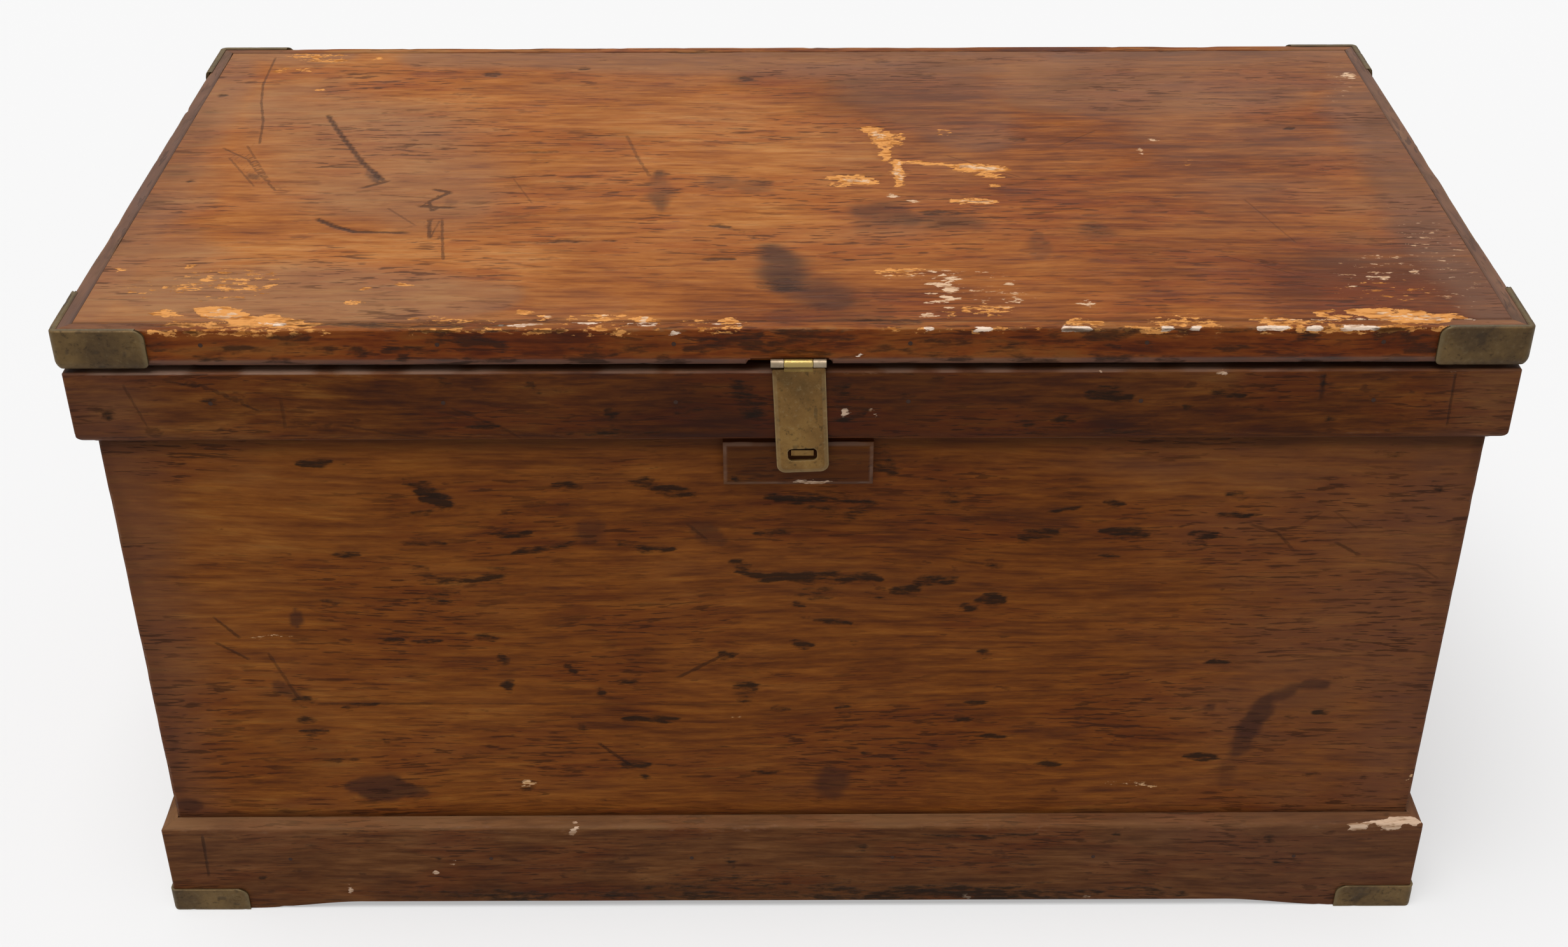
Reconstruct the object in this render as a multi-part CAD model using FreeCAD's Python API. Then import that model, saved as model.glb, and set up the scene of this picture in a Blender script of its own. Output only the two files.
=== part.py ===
import FreeCAD, Part
import math
import os

from FreeCAD import Vector

# Sea chest: a dovetailed pine box with a band and a plinth planted round it, a flat lid with
# edge strips and brass corner straps, a brass hasp in front, butt hinges behind, and a drop
# handle on each end. Millimetres, +Z up, front towards -Y. The pieces are built about the
# middle of the wooden box and moved at the end, so that the origin is bottom centre.

# ---- the wooden box, over its mouldings -------------------------------------------------
chest_width = 960.0
chest_depth = 498.0
chest_height = 512.4

# ---- lid --------------------------------------------------------------------------------
lid_thickness = 29.0
strip_thickness = 10.5        # edge strips round the lid board
rim_round = 7.5               # quarter-round under the strips
lid_arris = 1.2               # eased top edge of the strips
batten_width = 45.0
batten_thickness = 16.0
batten_end_gap = 22.0         # batten end to the inside of the box
batten_x = 250.0
batten_screw_shares = (0.3, 0.85)   # of the batten's half length, each way from its middle

# ---- box boards -------------------------------------------------------------------------
wall = 18.0
moulding = 11.0               # thickness of band and plinth
dovetail_lap = 6.0            # wood left in front of the tails
dovetail_count = 6
dovetail_slope = 6.0          # one in six
dovetail_gap_share = 0.28     # narrow part of a socket wall, as a share of the spacing
bottom_thickness = 14.0
bottom_lift = 12.0            # floor to the underside of the bottom boards
bottom_count = 3
tongue = 5.0                  # tongue's reach and thickness
block_leg = 58.0              # corner block under the bottom boards
block_clearance = 0.3         # corner block's foot above the floor line of the plinth

# ---- band and plinth --------------------------------------------------------------------
band_height = 58.0
band_bevel_height = 12.0
band_bevel_depth = 10.5
band_arris = 1.5
plinth_height = 82.5
plinth_arris = 3.0
plinth_relief = 6.5           # the plinth stands on its corners only
foot_length = 60.0            # flat of the foot along each side
relief_ramp = 85.0            # slope from the foot up to the relief
outer_corner = 2.5            # rounding of the mouldings' upright corners

# ---- lock block and staple --------------------------------------------------------------
hasp_x = 4.2                  # the hasp sits a little right of the middle
block_width = 102.0
block_height = 33.8
block_thickness = 6.5
block_bevel = 1.5
staple_width = 15.1
staple_height = 4.2
staple_bar = 2.0
staple_leg = 3.0
staple_clearance = 0.4        # staple bar to the back of the hasp plate
staple_bite = 11.0            # leg's reach into the front board

# ---- hasp -------------------------------------------------------------------------------
hasp_axis_rise = 5.1          # pin axis above the lid's underside
hasp_barrel = 2.9             # radius
hasp_barrel_gap = 0.3         # barrel to the lid's front
hasp_barrel_length = 36.4
hasp_middle_knuckle = 19.6
hasp_pin = 1.2                # radius
hasp_plate_thickness = 2.0
hasp_plate_width = 35.0
hasp_tail = 14.3              # slot's middle to the plate's lower edge
hasp_plate_gap = 0.7          # plate to the band's face
hasp_plate_corner = 6.0
hasp_shoulder = 4.6           # pin axis down to the plate's upper shoulders
hasp_lean = 2.2               # degrees: the plate hangs slightly askew
hasp_slot_width = 19.7
hasp_slot_height = 9.2
hasp_slot_corner = 3.0
hasp_slot_drop = 70.9         # pin axis to the slot's middle
hasp_leaf_clearance = 0.4     # leaf to the box's top edge
hasp_leaf_reach = 36.0        # leaf's length under the lid, from the lid's front
hasp_mortise_left = 31.5      # mortise in the front strip, left of the hasp's middle
hasp_mortise_right = 20.0
hasp_mortise_height = 7.0
hasp_leaf_rise = 6.5          # where the leaf starts to rise, in front of the lid board
hasp_leaf_tangent = 50.0      # degrees below level, where the leaf's underside meets the barrel
hasp_screw_spread = 11.0      # leaf's screws, each way from its middle
hasp_screw_in = 26.0          # and inwards from the lid's front
knuckle_gap = 0.3             # between neighbouring knuckles
pin_clearance = 0.05          # radial, pin in knuckle

# ---- back hinges ------------------------------------------------------------------------
hinge_x = 300.0
hinge_length = 76.0
hinge_leaf = 1.4
hinge_leaf_gap = 0.2          # between the two leaves when the lid is shut
hinge_leaf_setback = 2.0      # leaf's inner edge to the inside of the box
hinge_barrel = 3.6            # radius
hinge_barrel_gap = 0.3        # barrel to the box's back
hinge_pin = 1.9               # radius
hinge_middle_knuckle = 28.0
hinge_stop_angle = 98.0       # heel meets lug here; the joint stops one degree short
heel_thickness = 2.0
heel_height = 17.0            # above the pin axis
heel_gap = 0.4                # heel to the lid's back edge
lug_reach = 8.5
lug_thickness = 4.0
hinge_screw_spread = 29.0

# ---- brass corners ----------------------------------------------------------------------
strap_thickness = 2.5
strap_wing = 62.0
strap_lip = 0.6               # strap's top above the lid
strap_foot = 0.2              # strap's lower edge above the lid's underside
strap_end_round = 6.0
shoe_thickness = 2.0
shoe_wing = 60.0
shoe_height = 20.8
shoe_end_round = 7.0
screw_from_end = 9.0
shoe_corner_ease = 0.05       # shoe's inner corner is rounded this much less than the wood

# ---- end handles ------------------------------------------------------------------------
handle_below_band = 122.4     # bail's axis to the band's lower edge
handle_plate_length = 124.0
handle_plate_height = 30.0
handle_plate_thickness = 2.5
handle_plate_round = 8.0
bail_rod = 3.75               # radius
bail_gap = 0.4                # rod to plate
ear_wall = 2.6
ear_width = 10.0
ear_y = 36.0
bail_shoulder = 7.0           # bend beside the ear
bail_bend = 12.0              # bend at the grip
bail_drop = 45.0
bail_end_gap = 0.6            # from the ear's outer face to the start of the bend
bail_pintle_short = 1.0       # pintle's end inside the ear's inner face

# ---- fasteners --------------------------------------------------------------------------
screw_head = 3.6              # radius
screw_head_height = 2.2
screw_shank = 1.7             # radius
screw_length = 16.0
batten_screw_length = 27.0
screw_slot = 0.9
screw_slot_depth = 0.7
brad_head = 1.5               # radius
brad_head_height = 0.7
brad_shank = 0.8              # radius
brad_length = 24.0
brad_inset = 95.0             # first brad to the chest's corner
brad_share = 0.62             # brad's height up the plinth and the lid strips
long_side_brads = 6
short_side_brads = 3
fastener_clearance = 0.05

# ---- planes and heights that the pieces share --------------------------------------------
half_x = chest_width / 2
half_y = chest_depth / 2
box_x = half_x - moulding
box_y = half_y - moulding
lid_under = chest_height - lid_thickness
lid_gap = 2 * hinge_leaf + hinge_leaf_gap
box_top = lid_under - lid_gap
box_bottom = bottom_lift + bottom_thickness
band_bottom = box_top - band_height
board_x = half_x - strip_thickness
board_y = half_y - strip_thickness
hasp_axis_y = -(half_y + hasp_barrel_gap + hasp_barrel)
hasp_axis_z = lid_under + hasp_axis_rise
hasp_plate_back = -(half_y + hasp_plate_gap)
hinge_axis_y = half_y + hinge_barrel_gap + hinge_barrel
hinge_axis_z = box_top + lid_gap / 2
handle_z = band_bottom - handle_below_band
handle_axis_x = box_x + handle_plate_thickness + bail_gap + bail_rod
ear_radius = bail_rod + pin_clearance + ear_wall
X = Vector(1, 0, 0)
Y = Vector(0, 1, 0)
Z = Vector(0, 0, 1)
O = Vector(0, 0, 0)

pieces = {}
bores = {}


# ---- small builders ----------------------------------------------------------------------
def block(x0, x1, y0, y1, z0, z1):
    """Rectangular solid between two corners."""
    return Part.makeBox(x1 - x0, y1 - y0, z1 - z0, Vector(x0, y0, z0))


def prism(points, way):
    """Polygon given by its corners, extruded along a vector."""
    return Part.Face(Part.makePolygon(points + points[:1])).extrude(way)


def rod(start, way, radius, length):
    """Round bar from a point along a direction."""
    return Part.makeCylinder(radius, length, start, way)


def along(shape, way):
    """Straight edges of a shape that run along a direction."""
    found = []
    for edge in shape.Edges:
        run = edge.Vertexes[-1].Point - edge.Vertexes[0].Point
        if run.Length > 0 and abs(run.dot(way)) > run.Length * (1 - 1e-9):
            found.append(edge)
    return found


def rounded_column(hx, hy, z0, z1, radius):
    """Upright rectangular column about the Z axis with rounded upright corners."""
    column = block(-hx, hx, -hy, hy, z0, z1)
    return column.makeFillet(radius, along(column, Z))


def arc(cu, cz, radius, start, end):
    """Arc in the XZ plane about (cu, cz), between two angles in degrees from +X towards +Z."""
    points = []
    for angle in (start, (start + end) / 2, end):
        turn = math.radians(angle)
        points.append(Vector(cu + radius * math.cos(turn), 0, cz + radius * math.sin(turn)))
    return Part.Arc(*points).toShape()


def moulded_solid(hx, hy, edges_at, z0, z1, corner):
    """Solid whose four sides all have the same section.

    edges_at(half) gives the section's right-hand edges, from bottom to top, for a side that
    stands at the distance half. The section is mirrored, carried along each way, and the two
    bars' common part has that section all round, mitred at the corners.
    """
    bars = []
    for half, other, turn in ((hx, hy, 0), (hy, hx, 90)):
        right = edges_at(half)
        left = [edge.mirror(O, X) for edge in right]
        low = right[0].Vertexes[0].Point
        high = right[-1].Vertexes[-1].Point
        lines = [Part.makeLine(Vector(-p.x, 0, p.z), p) for p in (low, high)]
        wire = Part.Wire(Part.__sortEdges__(right + left + lines))
        bar = Part.Face(wire).extrude(Vector(0, 2 * other, 0))
        bar.translate(Vector(0, -other, 0))
        bar.rotate(O, Z, turn)
        bars.append(bar)
    return bars[0].common(bars[1]).common(rounded_column(hx, hy, z0, z1, corner))


def mitred_sides(prefix, solid, hx, hy, thickness):
    """Cut a moulded solid into its front, back, left and right lengths, mitred at 45 degrees."""
    low, high = solid.BoundBox.ZMin - 1, solid.BoundBox.ZMax + 1
    ix, iy = hx - thickness, hy - thickness
    reach = 5.0               # the wedges run past the outer faces
    ox, oy = hx + reach, hy + reach
    wedges = {
        "front": [(-ox, -oy), (ox, -oy), (ix, -iy), (-ix, -iy)],
        "back": [(-ox, oy), (ox, oy), (ix, iy), (-ix, iy)],
        "left": [(-ox, -oy), (-ox, oy), (-ix, iy), (-ix, -iy)],
        "right": [(ox, -oy), (ox, oy), (ix, iy), (ix, -iy)],
    }
    for side, corners in wedges.items():
        wedge = prism([Vector(x, y, low) for x, y in corners], Vector(0, 0, high - low))
        pieces[prefix + "_" + side] = solid.common(wedge)


def turned(profile, point, way):
    """Solid turned about Z from (radius, height) corners, then stood with -Z along a direction."""
    corners = [Vector(r, 0, h) for r, h in profile]
    solid = Part.Face(Part.makePolygon(corners + corners[:1])).revolve(O, Z, 360)
    solid.Placement = FreeCAD.Placement(point, FreeCAD.Rotation(Vector(0, 0, -1), way))
    return solid


def fastener(node, point, way, into, kind="screw", length=screw_length):
    """Screw or brad with its head's top at a point; its bore goes into each piece named."""
    head, drop, shank = screw_head, screw_head_height, screw_shank
    if kind == "brad":
        head, drop, shank = brad_head, brad_head_height, brad_shank
    c = fastener_clearance
    neck = shank if kind == "screw" else head
    body = [(0, 0), (head, 0), (neck, -drop), (shank, -drop), (shank, shank - length), (0, -length)]
    bore = [(0, 1), (head + c, 1), (head + c, 0), (neck + c, -drop - c), (shank + c, -drop - c),
            (shank + c, -length - c), (0, -length - c)]
    if kind == "screw":
        body.pop(3)
        bore.pop(4)
    solid = turned(body, point, way)
    if kind == "screw":
        slot = block(-head, head, -screw_slot / 2, screw_slot / 2, -screw_slot_depth, 1)
        slot.Placement = solid.Placement
        solid = solid.cut(slot)
    pieces.setdefault(node, []).append(solid)
    for name in into:
        bores.setdefault(name, []).append(turned(bore, point, way))


# ---- box ---------------------------------------------------------------------------------
def dovetails(side, end):
    """Tails on one end of an end board, reaching into the front (side -1) or back (+1) board."""
    spacing = (box_top - box_bottom) / dovetail_count
    reach = wall - dovetail_lap
    root = spacing * (1 - dovetail_gap_share) / 2 - reach / dovetail_slope
    inner = side * (box_y - wall)
    outer = inner + side * reach
    tails = []
    for i in range(dovetail_count):
        middle = box_bottom + spacing * (i + 0.5)
        tip = root + reach / dovetail_slope
        corners = [Vector(end * box_x, inner, middle - root), Vector(end * box_x, outer, middle - tip),
                   Vector(end * box_x, outer, middle + tip), Vector(end * box_x, inner, middle + root)]
        tails.append(prism(corners, Vector(-end * wall, 0, 0)))
    return tails


def make_box():
    """Front, back and end boards with lapped dovetails."""
    boards = {
        "front_board": (block(-box_x, box_x, -box_y, -box_y + wall, box_bottom, box_top), -1),
        "back_board": (block(-box_x, box_x, box_y - wall, box_y, box_bottom, box_top), 1),
    }
    for name, (board, side) in boards.items():
        pieces[name] = board.cut(dovetails(side, -1) + dovetails(side, 1))
    for name, end in (("left_end_board", -1), ("right_end_board", 1)):
        x0, x1 = sorted((end * box_x, end * (box_x - wall)))
        board = block(x0, x1, -box_y + wall, box_y - wall, box_bottom, box_top)
        pieces[name] = board.fuse(dovetails(-1, end) + dovetails(1, end)).removeSplitter()


def make_bottom():
    """Tongued and grooved boards under the box, and corner blocks below them."""
    width = 2 * box_y / bottom_count
    middle = bottom_lift + bottom_thickness / 2
    for i, name in enumerate(("bottom_board_front", "bottom_board_middle", "bottom_board_back")):
        y0 = -box_y + i * width
        board = block(-box_x, box_x, y0, y0 + width, bottom_lift, box_bottom)
        if i < bottom_count - 1:
            y1 = y0 + width
            board = board.fuse(block(-box_x, box_x, y1, y1 + tongue, middle - tongue / 2,
                                     middle + tongue / 2)).removeSplitter()
        if i > 0:
            board = board.cut(block(-box_x, box_x, y0, y0 + tongue, middle - tongue / 2,
                                    middle + tongue / 2))
        pieces[name] = board
    blocks = []
    for sx in (-1, 1):
        for sy in (-1, 1):
            corner = [Vector(sx * box_x, sy * box_y, block_clearance),
                      Vector(sx * (box_x - block_leg), sy * box_y, block_clearance),
                      Vector(sx * box_x, sy * (box_y - block_leg), block_clearance)]
            blocks.append(prism(corner, Vector(0, 0, bottom_lift - block_clearance)))
    pieces["plinth_corner_blocks"] = blocks


def make_band():
    """Band under the lid: eased upper edge, wide bevel below."""
    def edges_at(half):
        low = Vector(half - band_bevel_depth, 0, band_bottom)
        knee = Vector(half, 0, band_bottom + band_bevel_height)
        top = Vector(half, 0, box_top - band_arris)
        ease = arc(half - band_arris, box_top - band_arris, band_arris, 0, 90)
        return [Part.makeLine(low, knee), Part.makeLine(knee, top), ease]
    solid = moulded_solid(half_x, half_y, edges_at, band_bottom, box_top, outer_corner)
    mitred_sides("band", solid, half_x, half_y, moulding)


def make_plinth():
    """Plinth with an eased ledge, relieved below between its feet."""
    def edges_at(half):
        top = Vector(half, 0, plinth_height - plinth_arris)
        ease = arc(half - plinth_arris, plinth_height - plinth_arris, plinth_arris, 0, 90)
        return [Part.makeLine(Vector(half, 0, 0), top), ease]
    solid = moulded_solid(half_x, half_y, edges_at, 0, plinth_height, outer_corner)
    for half, other, turn in ((half_x, half_y, 0), (half_y, half_x, 90)):
        foot = half - foot_length
        knee = foot - relief_ramp
        points = [(-foot, -1), (-foot, 0), (-knee, plinth_relief), (knee, plinth_relief), (foot, 0),
                  (foot, -1)]
        gap = prism([Vector(x, -other - 1, z) for x, z in points], Vector(0, 2 * other + 2, 0))
        gap.rotate(O, Z, turn)
        solid = solid.cut(gap)
    mitred_sides("plinth", solid, half_x, half_y, moulding)


def make_lock_block():
    """Wooden block under the band that carries the staple."""
    y0 = -box_y - block_thickness
    z0 = band_bottom - block_height
    x0 = hasp_x - block_width / 2
    body = block(x0, x0 + block_width, y0, -box_y, z0, band_bottom)
    front = []
    for edge in body.Edges:
        if all(abs(v.Point.y - y0) < 1e-6 for v in edge.Vertexes):
            front.append(edge)
    pieces["lock_block"] = body.makeChamfer(block_bevel, front)


def make_staple():
    """Flat staple driven through the lock block; its bar stands behind the hasp's slot."""
    lean = math.radians(hasp_lean)
    staple_x = hasp_x + hasp_slot_drop * math.sin(lean)
    staple_z = hasp_axis_z - hasp_slot_drop * math.cos(lean)
    front = hasp_plate_back + staple_clearance
    back = -box_y + staple_bite
    x0, x1 = staple_x - staple_width / 2, staple_x + staple_width / 2
    z0, z1 = staple_z - staple_height / 2, staple_z + staple_height / 2
    bar = block(x0, x1, front, front + staple_bar, z0, z1)
    legs = [block(x, x + staple_leg, front, back, z0, z1) for x in (x0, x1 - staple_leg)]
    pieces["hasp_staple"] = bar.fuse(legs).removeSplitter()
    for name in ("lock_block", "front_board"):
        pieces[name] = pieces[name].cut(legs)


# ---- lid ---------------------------------------------------------------------------------
def rim_section(half, grow, low, high, arris):
    """Edges of the lid's rim: quarter-round below, upright face, eased top edge.

    grow moves the section outwards, the quarter-round about its own centre.
    """
    centre_x, centre_z = half - rim_round, lid_under + rim_round
    radius = rim_round + grow
    start = -math.degrees(math.asin(min(1.0, (centre_z - low) / radius)))
    edges = [arc(centre_x, centre_z, radius, start, 0)]
    side = half + grow
    edges.append(Part.makeLine(Vector(side, 0, centre_z), Vector(side, 0, high - arris)))
    edges.append(arc(side - arris, high - arris, arris, 0, 90))
    return edges


def lid_solid(grow, low, high, arris):
    """The lid's outline as one solid, grown outwards by a thickness."""
    def edges_at(half):
        return rim_section(half - grow, grow, low, high, arris)
    return moulded_solid(half_x + grow, half_y + grow, edges_at, low, high, outer_corner + grow)


def make_lid():
    """Lid board, its four edge strips and the battens under it."""
    blank = lid_solid(0, lid_under, chest_height, lid_arris)
    mitred_sides("lid_strip", blank, half_x, half_y, strip_thickness)
    mortise = block(hasp_x - hasp_mortise_left, hasp_x + hasp_mortise_right, -half_y - 1, -board_y,
                    lid_under - 1, lid_under + hasp_mortise_height)
    pieces["lid_strip_front"] = pieces["lid_strip_front"].cut(mortise)
    pieces["lid_board"] = block(-board_x, board_x, -board_y, board_y, lid_under, chest_height)
    reach = box_y - wall - batten_end_gap
    low = lid_under - batten_thickness
    for name, side in (("lid_batten_left", -1), ("lid_batten_right", 1)):
        x0 = side * batten_x - batten_width / 2
        pieces[name] = block(x0, x0 + batten_width, -reach, reach, low, lid_under)
        for share in batten_screw_shares:
            for y in (-reach * share, reach * share):
                fastener("batten_screws", Vector(side * batten_x, y, low), Z, (name, "lid_board"),
                         length=batten_screw_length)


def wing_masks(sx, sy, ox, oy, wing, z0, z1, end_round, rounded):
    """Two upright slabs that give a corner strap its wings, with rounded ends.

    rounded names which corners of each wing's end are rounded: "top" or "both".
    """
    depth = 16.0              # thicker than any strap, thinner than a wing
    masks = []
    for reach, other, turned_wing in ((ox, oy, False), (oy, ox, True)):
        inner, outer = reach - wing, reach + 1
        slab = block(inner, outer, other - depth, other + 1, z0 - 1, z1 + 1)
        cutters = []
        heights = (z1,) if rounded == "top" else (z0, z1)
        for z in heights:
            inward = -1 if z == z1 else 1
            zc = z + inward * end_round
            low, high = sorted((zc, z - inward * 2))
            corner = block(inner - 1, inner + end_round, other - depth - 1, other + 2, low, high)
            disc = rod(Vector(inner + end_round, other - depth - 1, zc), Y, end_round, depth + 3)
            cutters.append(corner.cut(disc))
        slab = slab.cut(cutters)
        if turned_wing:
            slab = slab.mirror(O, Vector(1, -1, 0))
        if sx < 0:
            slab = slab.mirror(O, X)
        if sy < 0:
            slab = slab.mirror(O, Y)
        masks.append(slab)
    return masks


def corner_piece(solid, sx, sy, ox, oy, wing, z0, z1, end_round, rounded):
    """The part of a ring-shaped solid that one corner's wings cover."""
    first, second = wing_masks(sx, sy, ox, oy, wing, z0, z1, end_round, rounded)
    return solid.common(first.fuse(second)).removeSplitter()


def corners():
    """Names and signs of the four corners."""
    return (("front_left", -1, -1), ("front_right", 1, -1), ("back_left", -1, 1), ("back_right", 1, 1))


def make_lid_corners():
    """Brass straps round the lid's corners, following the rim."""
    low, high = lid_under + strap_foot, chest_height + strap_lip
    ring = lid_solid(strap_thickness, low, high, lid_arris / 2)
    core = lid_solid(0, lid_under, chest_height, lid_arris)
    column = rounded_column(half_x, half_y, lid_under + rim_round, high + 1, outer_corner)
    ring = ring.cut([core, column])
    ox, oy = half_x + strap_thickness, half_y + strap_thickness
    z = lid_under + rim_round + (lid_thickness - rim_round) / 2
    for place, sx, sy in corners():
        name = "lid_corner_" + place
        pieces[name] = corner_piece(ring, sx, sy, ox, oy, strap_wing, low, high, strap_end_round, "both")
        along_x = sx * (ox - strap_wing + screw_from_end)
        along_y = sy * (oy - strap_wing + screw_from_end)
        strip = "lid_strip_" + ("front" if sy < 0 else "back")
        fastener("lid_corner_screws", Vector(along_x, sy * oy, z), Vector(0, -sy, 0),
                 (name, strip, "lid_board"))
        strip = "lid_strip_" + ("left" if sx < 0 else "right")
        fastener("lid_corner_screws", Vector(sx * ox, along_y, z), Vector(-sx, 0, 0),
                 (name, strip, "lid_board"))


def make_shoes():
    """Brass shoes round the plinth's feet."""
    ox, oy = half_x + shoe_thickness, half_y + shoe_thickness
    ring = rounded_column(ox, oy, 0, shoe_height, outer_corner + shoe_thickness)
    # the hole's corners are rounded a little less than the wood's, which clears them
    hole = rounded_column(half_x, half_y, -1, shoe_height + 1, outer_corner - shoe_corner_ease)
    ring = ring.cut(hole)
    z = shoe_height / 2
    for place, sx, sy in corners():
        name = "shoe_" + place
        pieces[name] = corner_piece(ring, sx, sy, ox, oy, shoe_wing, 0, shoe_height, shoe_end_round, "top")
        along_x = sx * (ox - shoe_wing + screw_from_end)
        along_y = sy * (oy - shoe_wing + screw_from_end)
        side = "plinth_" + ("front" if sy < 0 else "back")
        under = "bottom_board_" + ("front" if sy < 0 else "back")
        fastener("shoe_screws", Vector(along_x, sy * oy, z), Vector(0, -sy, 0),
                 (name, side, under, "plinth_corner_blocks"))
        side = "plinth_" + ("left" if sx < 0 else "right")
        fastener("shoe_screws", Vector(sx * ox, along_y, z), Vector(-sx, 0, 0),
                 (name, side, under, "plinth_corner_blocks"))


# ---- hasp --------------------------------------------------------------------------------
def make_hasp():
    """Hasp plate with the middle knuckle, lid leaf with the outer two, and their pin."""
    start = hasp_x - hasp_barrel_length / 2
    axis = Vector(start, hasp_axis_y, hasp_axis_z)
    middle = Vector(hasp_x - hasp_middle_knuckle / 2, hasp_axis_y, hasp_axis_z)
    pin_hole = rod(axis - X, X, hasp_pin + pin_clearance, hasp_barrel_length + 2)

    # swinging plate, drawn straight and then leant about the pin's middle
    half = hasp_plate_width / 2
    front = hasp_plate_back - hasp_plate_thickness
    low, high = hasp_axis_z - hasp_slot_drop - hasp_tail, hasp_axis_z - hasp_shoulder
    plate = block(hasp_x - half, hasp_x + half, front, hasp_plate_back, low, high)
    foot = [edge for edge in along(plate, Y) if edge.CenterOfMass.z < low + 1]
    plate = plate.makeFillet(hasp_plate_corner, foot)
    slot_z = hasp_axis_z - hasp_slot_drop
    slot = block(hasp_x - hasp_slot_width / 2, hasp_x + hasp_slot_width / 2, front - 1, hasp_plate_back + 1,
                 slot_z - hasp_slot_height / 2, slot_z + hasp_slot_height / 2)
    slot = slot.makeFillet(hasp_slot_corner, along(slot, Y))
    plate = plate.cut(slot)
    plate.rotate(Vector(hasp_x, 0, hasp_axis_z), Y, -hasp_lean)
    neck = block(middle.x + knuckle_gap, middle.x + hasp_middle_knuckle - knuckle_gap, front, hasp_plate_back,
                 high - 2, hasp_axis_z)
    knuckle = rod(middle + X * knuckle_gap, X, hasp_barrel, hasp_middle_knuckle - 2 * knuckle_gap)
    pieces["hasp_plate"] = plate.fuse([neck, knuckle]).removeSplitter().cut(pin_hole)

    # lid leaf: flat under the lid, then up in front to the outer knuckles
    under = box_top + hasp_leaf_clearance
    back = -half_y + hasp_leaf_reach
    rise = -board_y - hasp_leaf_rise
    turn = math.radians(hasp_leaf_tangent)
    tangent_y = hasp_axis_y + hasp_barrel * math.cos(turn)
    tangent_z = hasp_axis_z - hasp_barrel * math.sin(turn)
    section = [(back, lid_under), (back, under), (rise, under), (tangent_y, tangent_z),
               (hasp_axis_y + hasp_barrel, hasp_axis_z), (rise + 1, lid_under)]
    leaf = prism([Vector(start, y, z) for y, z in section], X * hasp_barrel_length)
    leaf = leaf.fuse(rod(axis, X, hasp_barrel, hasp_barrel_length)).removeSplitter()
    room = rod(middle, X, hasp_barrel + knuckle_gap, hasp_middle_knuckle)
    neck_room = block(middle.x, middle.x + hasp_middle_knuckle, front - hasp_barrel,
                      hasp_plate_back + knuckle_gap, under, hasp_axis_z)
    pieces["hasp_lid_leaf"] = leaf.cut(neck_room).cut(room).cut(pin_hole)
    pieces["hasp_pin"] = rod(axis, X, hasp_pin, hasp_barrel_length)
    for x in (hasp_x - hasp_screw_spread, hasp_x + hasp_screw_spread):
        fastener("hasp_leaf_screws", Vector(x, -half_y + hasp_screw_in, under), Z,
                 ("hasp_lid_leaf", "lid_board"))


# ---- back hinges -------------------------------------------------------------------------
def make_hinge(side, name):
    """Butt hinge in the gap behind: the lid leaf's heel meets the box leaf's lug when open."""
    x0 = side * hinge_x - hinge_length / 2
    axis = Vector(x0, hinge_axis_y, hinge_axis_z)
    middle = Vector(side * hinge_x - hinge_middle_knuckle / 2, hinge_axis_y, hinge_axis_z)
    inner = box_y - wall + hinge_leaf_setback
    pin_hole = rod(axis - X, X, hinge_pin + pin_clearance, hinge_length + 2)
    middle_room = rod(middle, X, hinge_barrel + knuckle_gap, hinge_middle_knuckle)
    knuckle = rod(middle + X * knuckle_gap, X, hinge_barrel, hinge_middle_knuckle - 2 * knuckle_gap)
    room_length = (hinge_length - hinge_middle_knuckle) / 2 + knuckle_gap
    outer_rooms = []
    for start in (axis, axis + X * (hinge_length - room_length)):
        outer_rooms.append(rod(start, X, hinge_barrel + knuckle_gap, room_length))

    # lid leaf: flat under the lid, outer knuckles, and a heel up the lid's back edge
    flat = block(x0, x0 + hinge_length, inner, hinge_axis_y, lid_under - hinge_leaf, lid_under)
    heel_y = half_y + heel_gap
    heel = block(x0, x0 + hinge_length, heel_y, heel_y + heel_thickness, hinge_axis_z,
                 hinge_axis_z + heel_height)
    upper = flat.fuse([heel, rod(axis, X, hinge_barrel, hinge_length)]).removeSplitter()
    pieces[name + "_lid_leaf"] = upper.cut(middle_room).cut(pin_hole)

    # box leaf: flat on the box's top edge, middle knuckle, and a lug that stops the heel
    flat = block(x0, x0 + hinge_length, inner, hinge_axis_y, box_top, box_top + hinge_leaf)
    face = heel_y + heel_thickness - hinge_axis_y
    lug = block(middle.x + knuckle_gap, middle.x + hinge_middle_knuckle - knuckle_gap, hinge_axis_y + face,
                hinge_axis_y + face + lug_thickness, hinge_axis_z, hinge_axis_z + lug_reach)
    lug.rotate(Vector(0, hinge_axis_y, hinge_axis_z), X, -hinge_stop_angle)
    lower = flat.cut(outer_rooms).fuse([knuckle, lug]).removeSplitter()
    pieces[name + "_box_leaf"] = lower.cut(pin_hole)
    pieces[name + "_pin"] = rod(axis, X, hinge_pin, hinge_length)

    y = box_y - wall / 2
    for dx in (-hinge_screw_spread, 0, hinge_screw_spread):
        x = side * hinge_x + dx
        fastener("hinge_lid_screws", Vector(x, y, lid_under - hinge_leaf), Z,
                 (name + "_lid_leaf", "lid_board"))
        fastener("hinge_box_screws", Vector(x, y, box_top + hinge_leaf), -Z,
                 (name + "_box_leaf", "back_board"))


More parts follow.
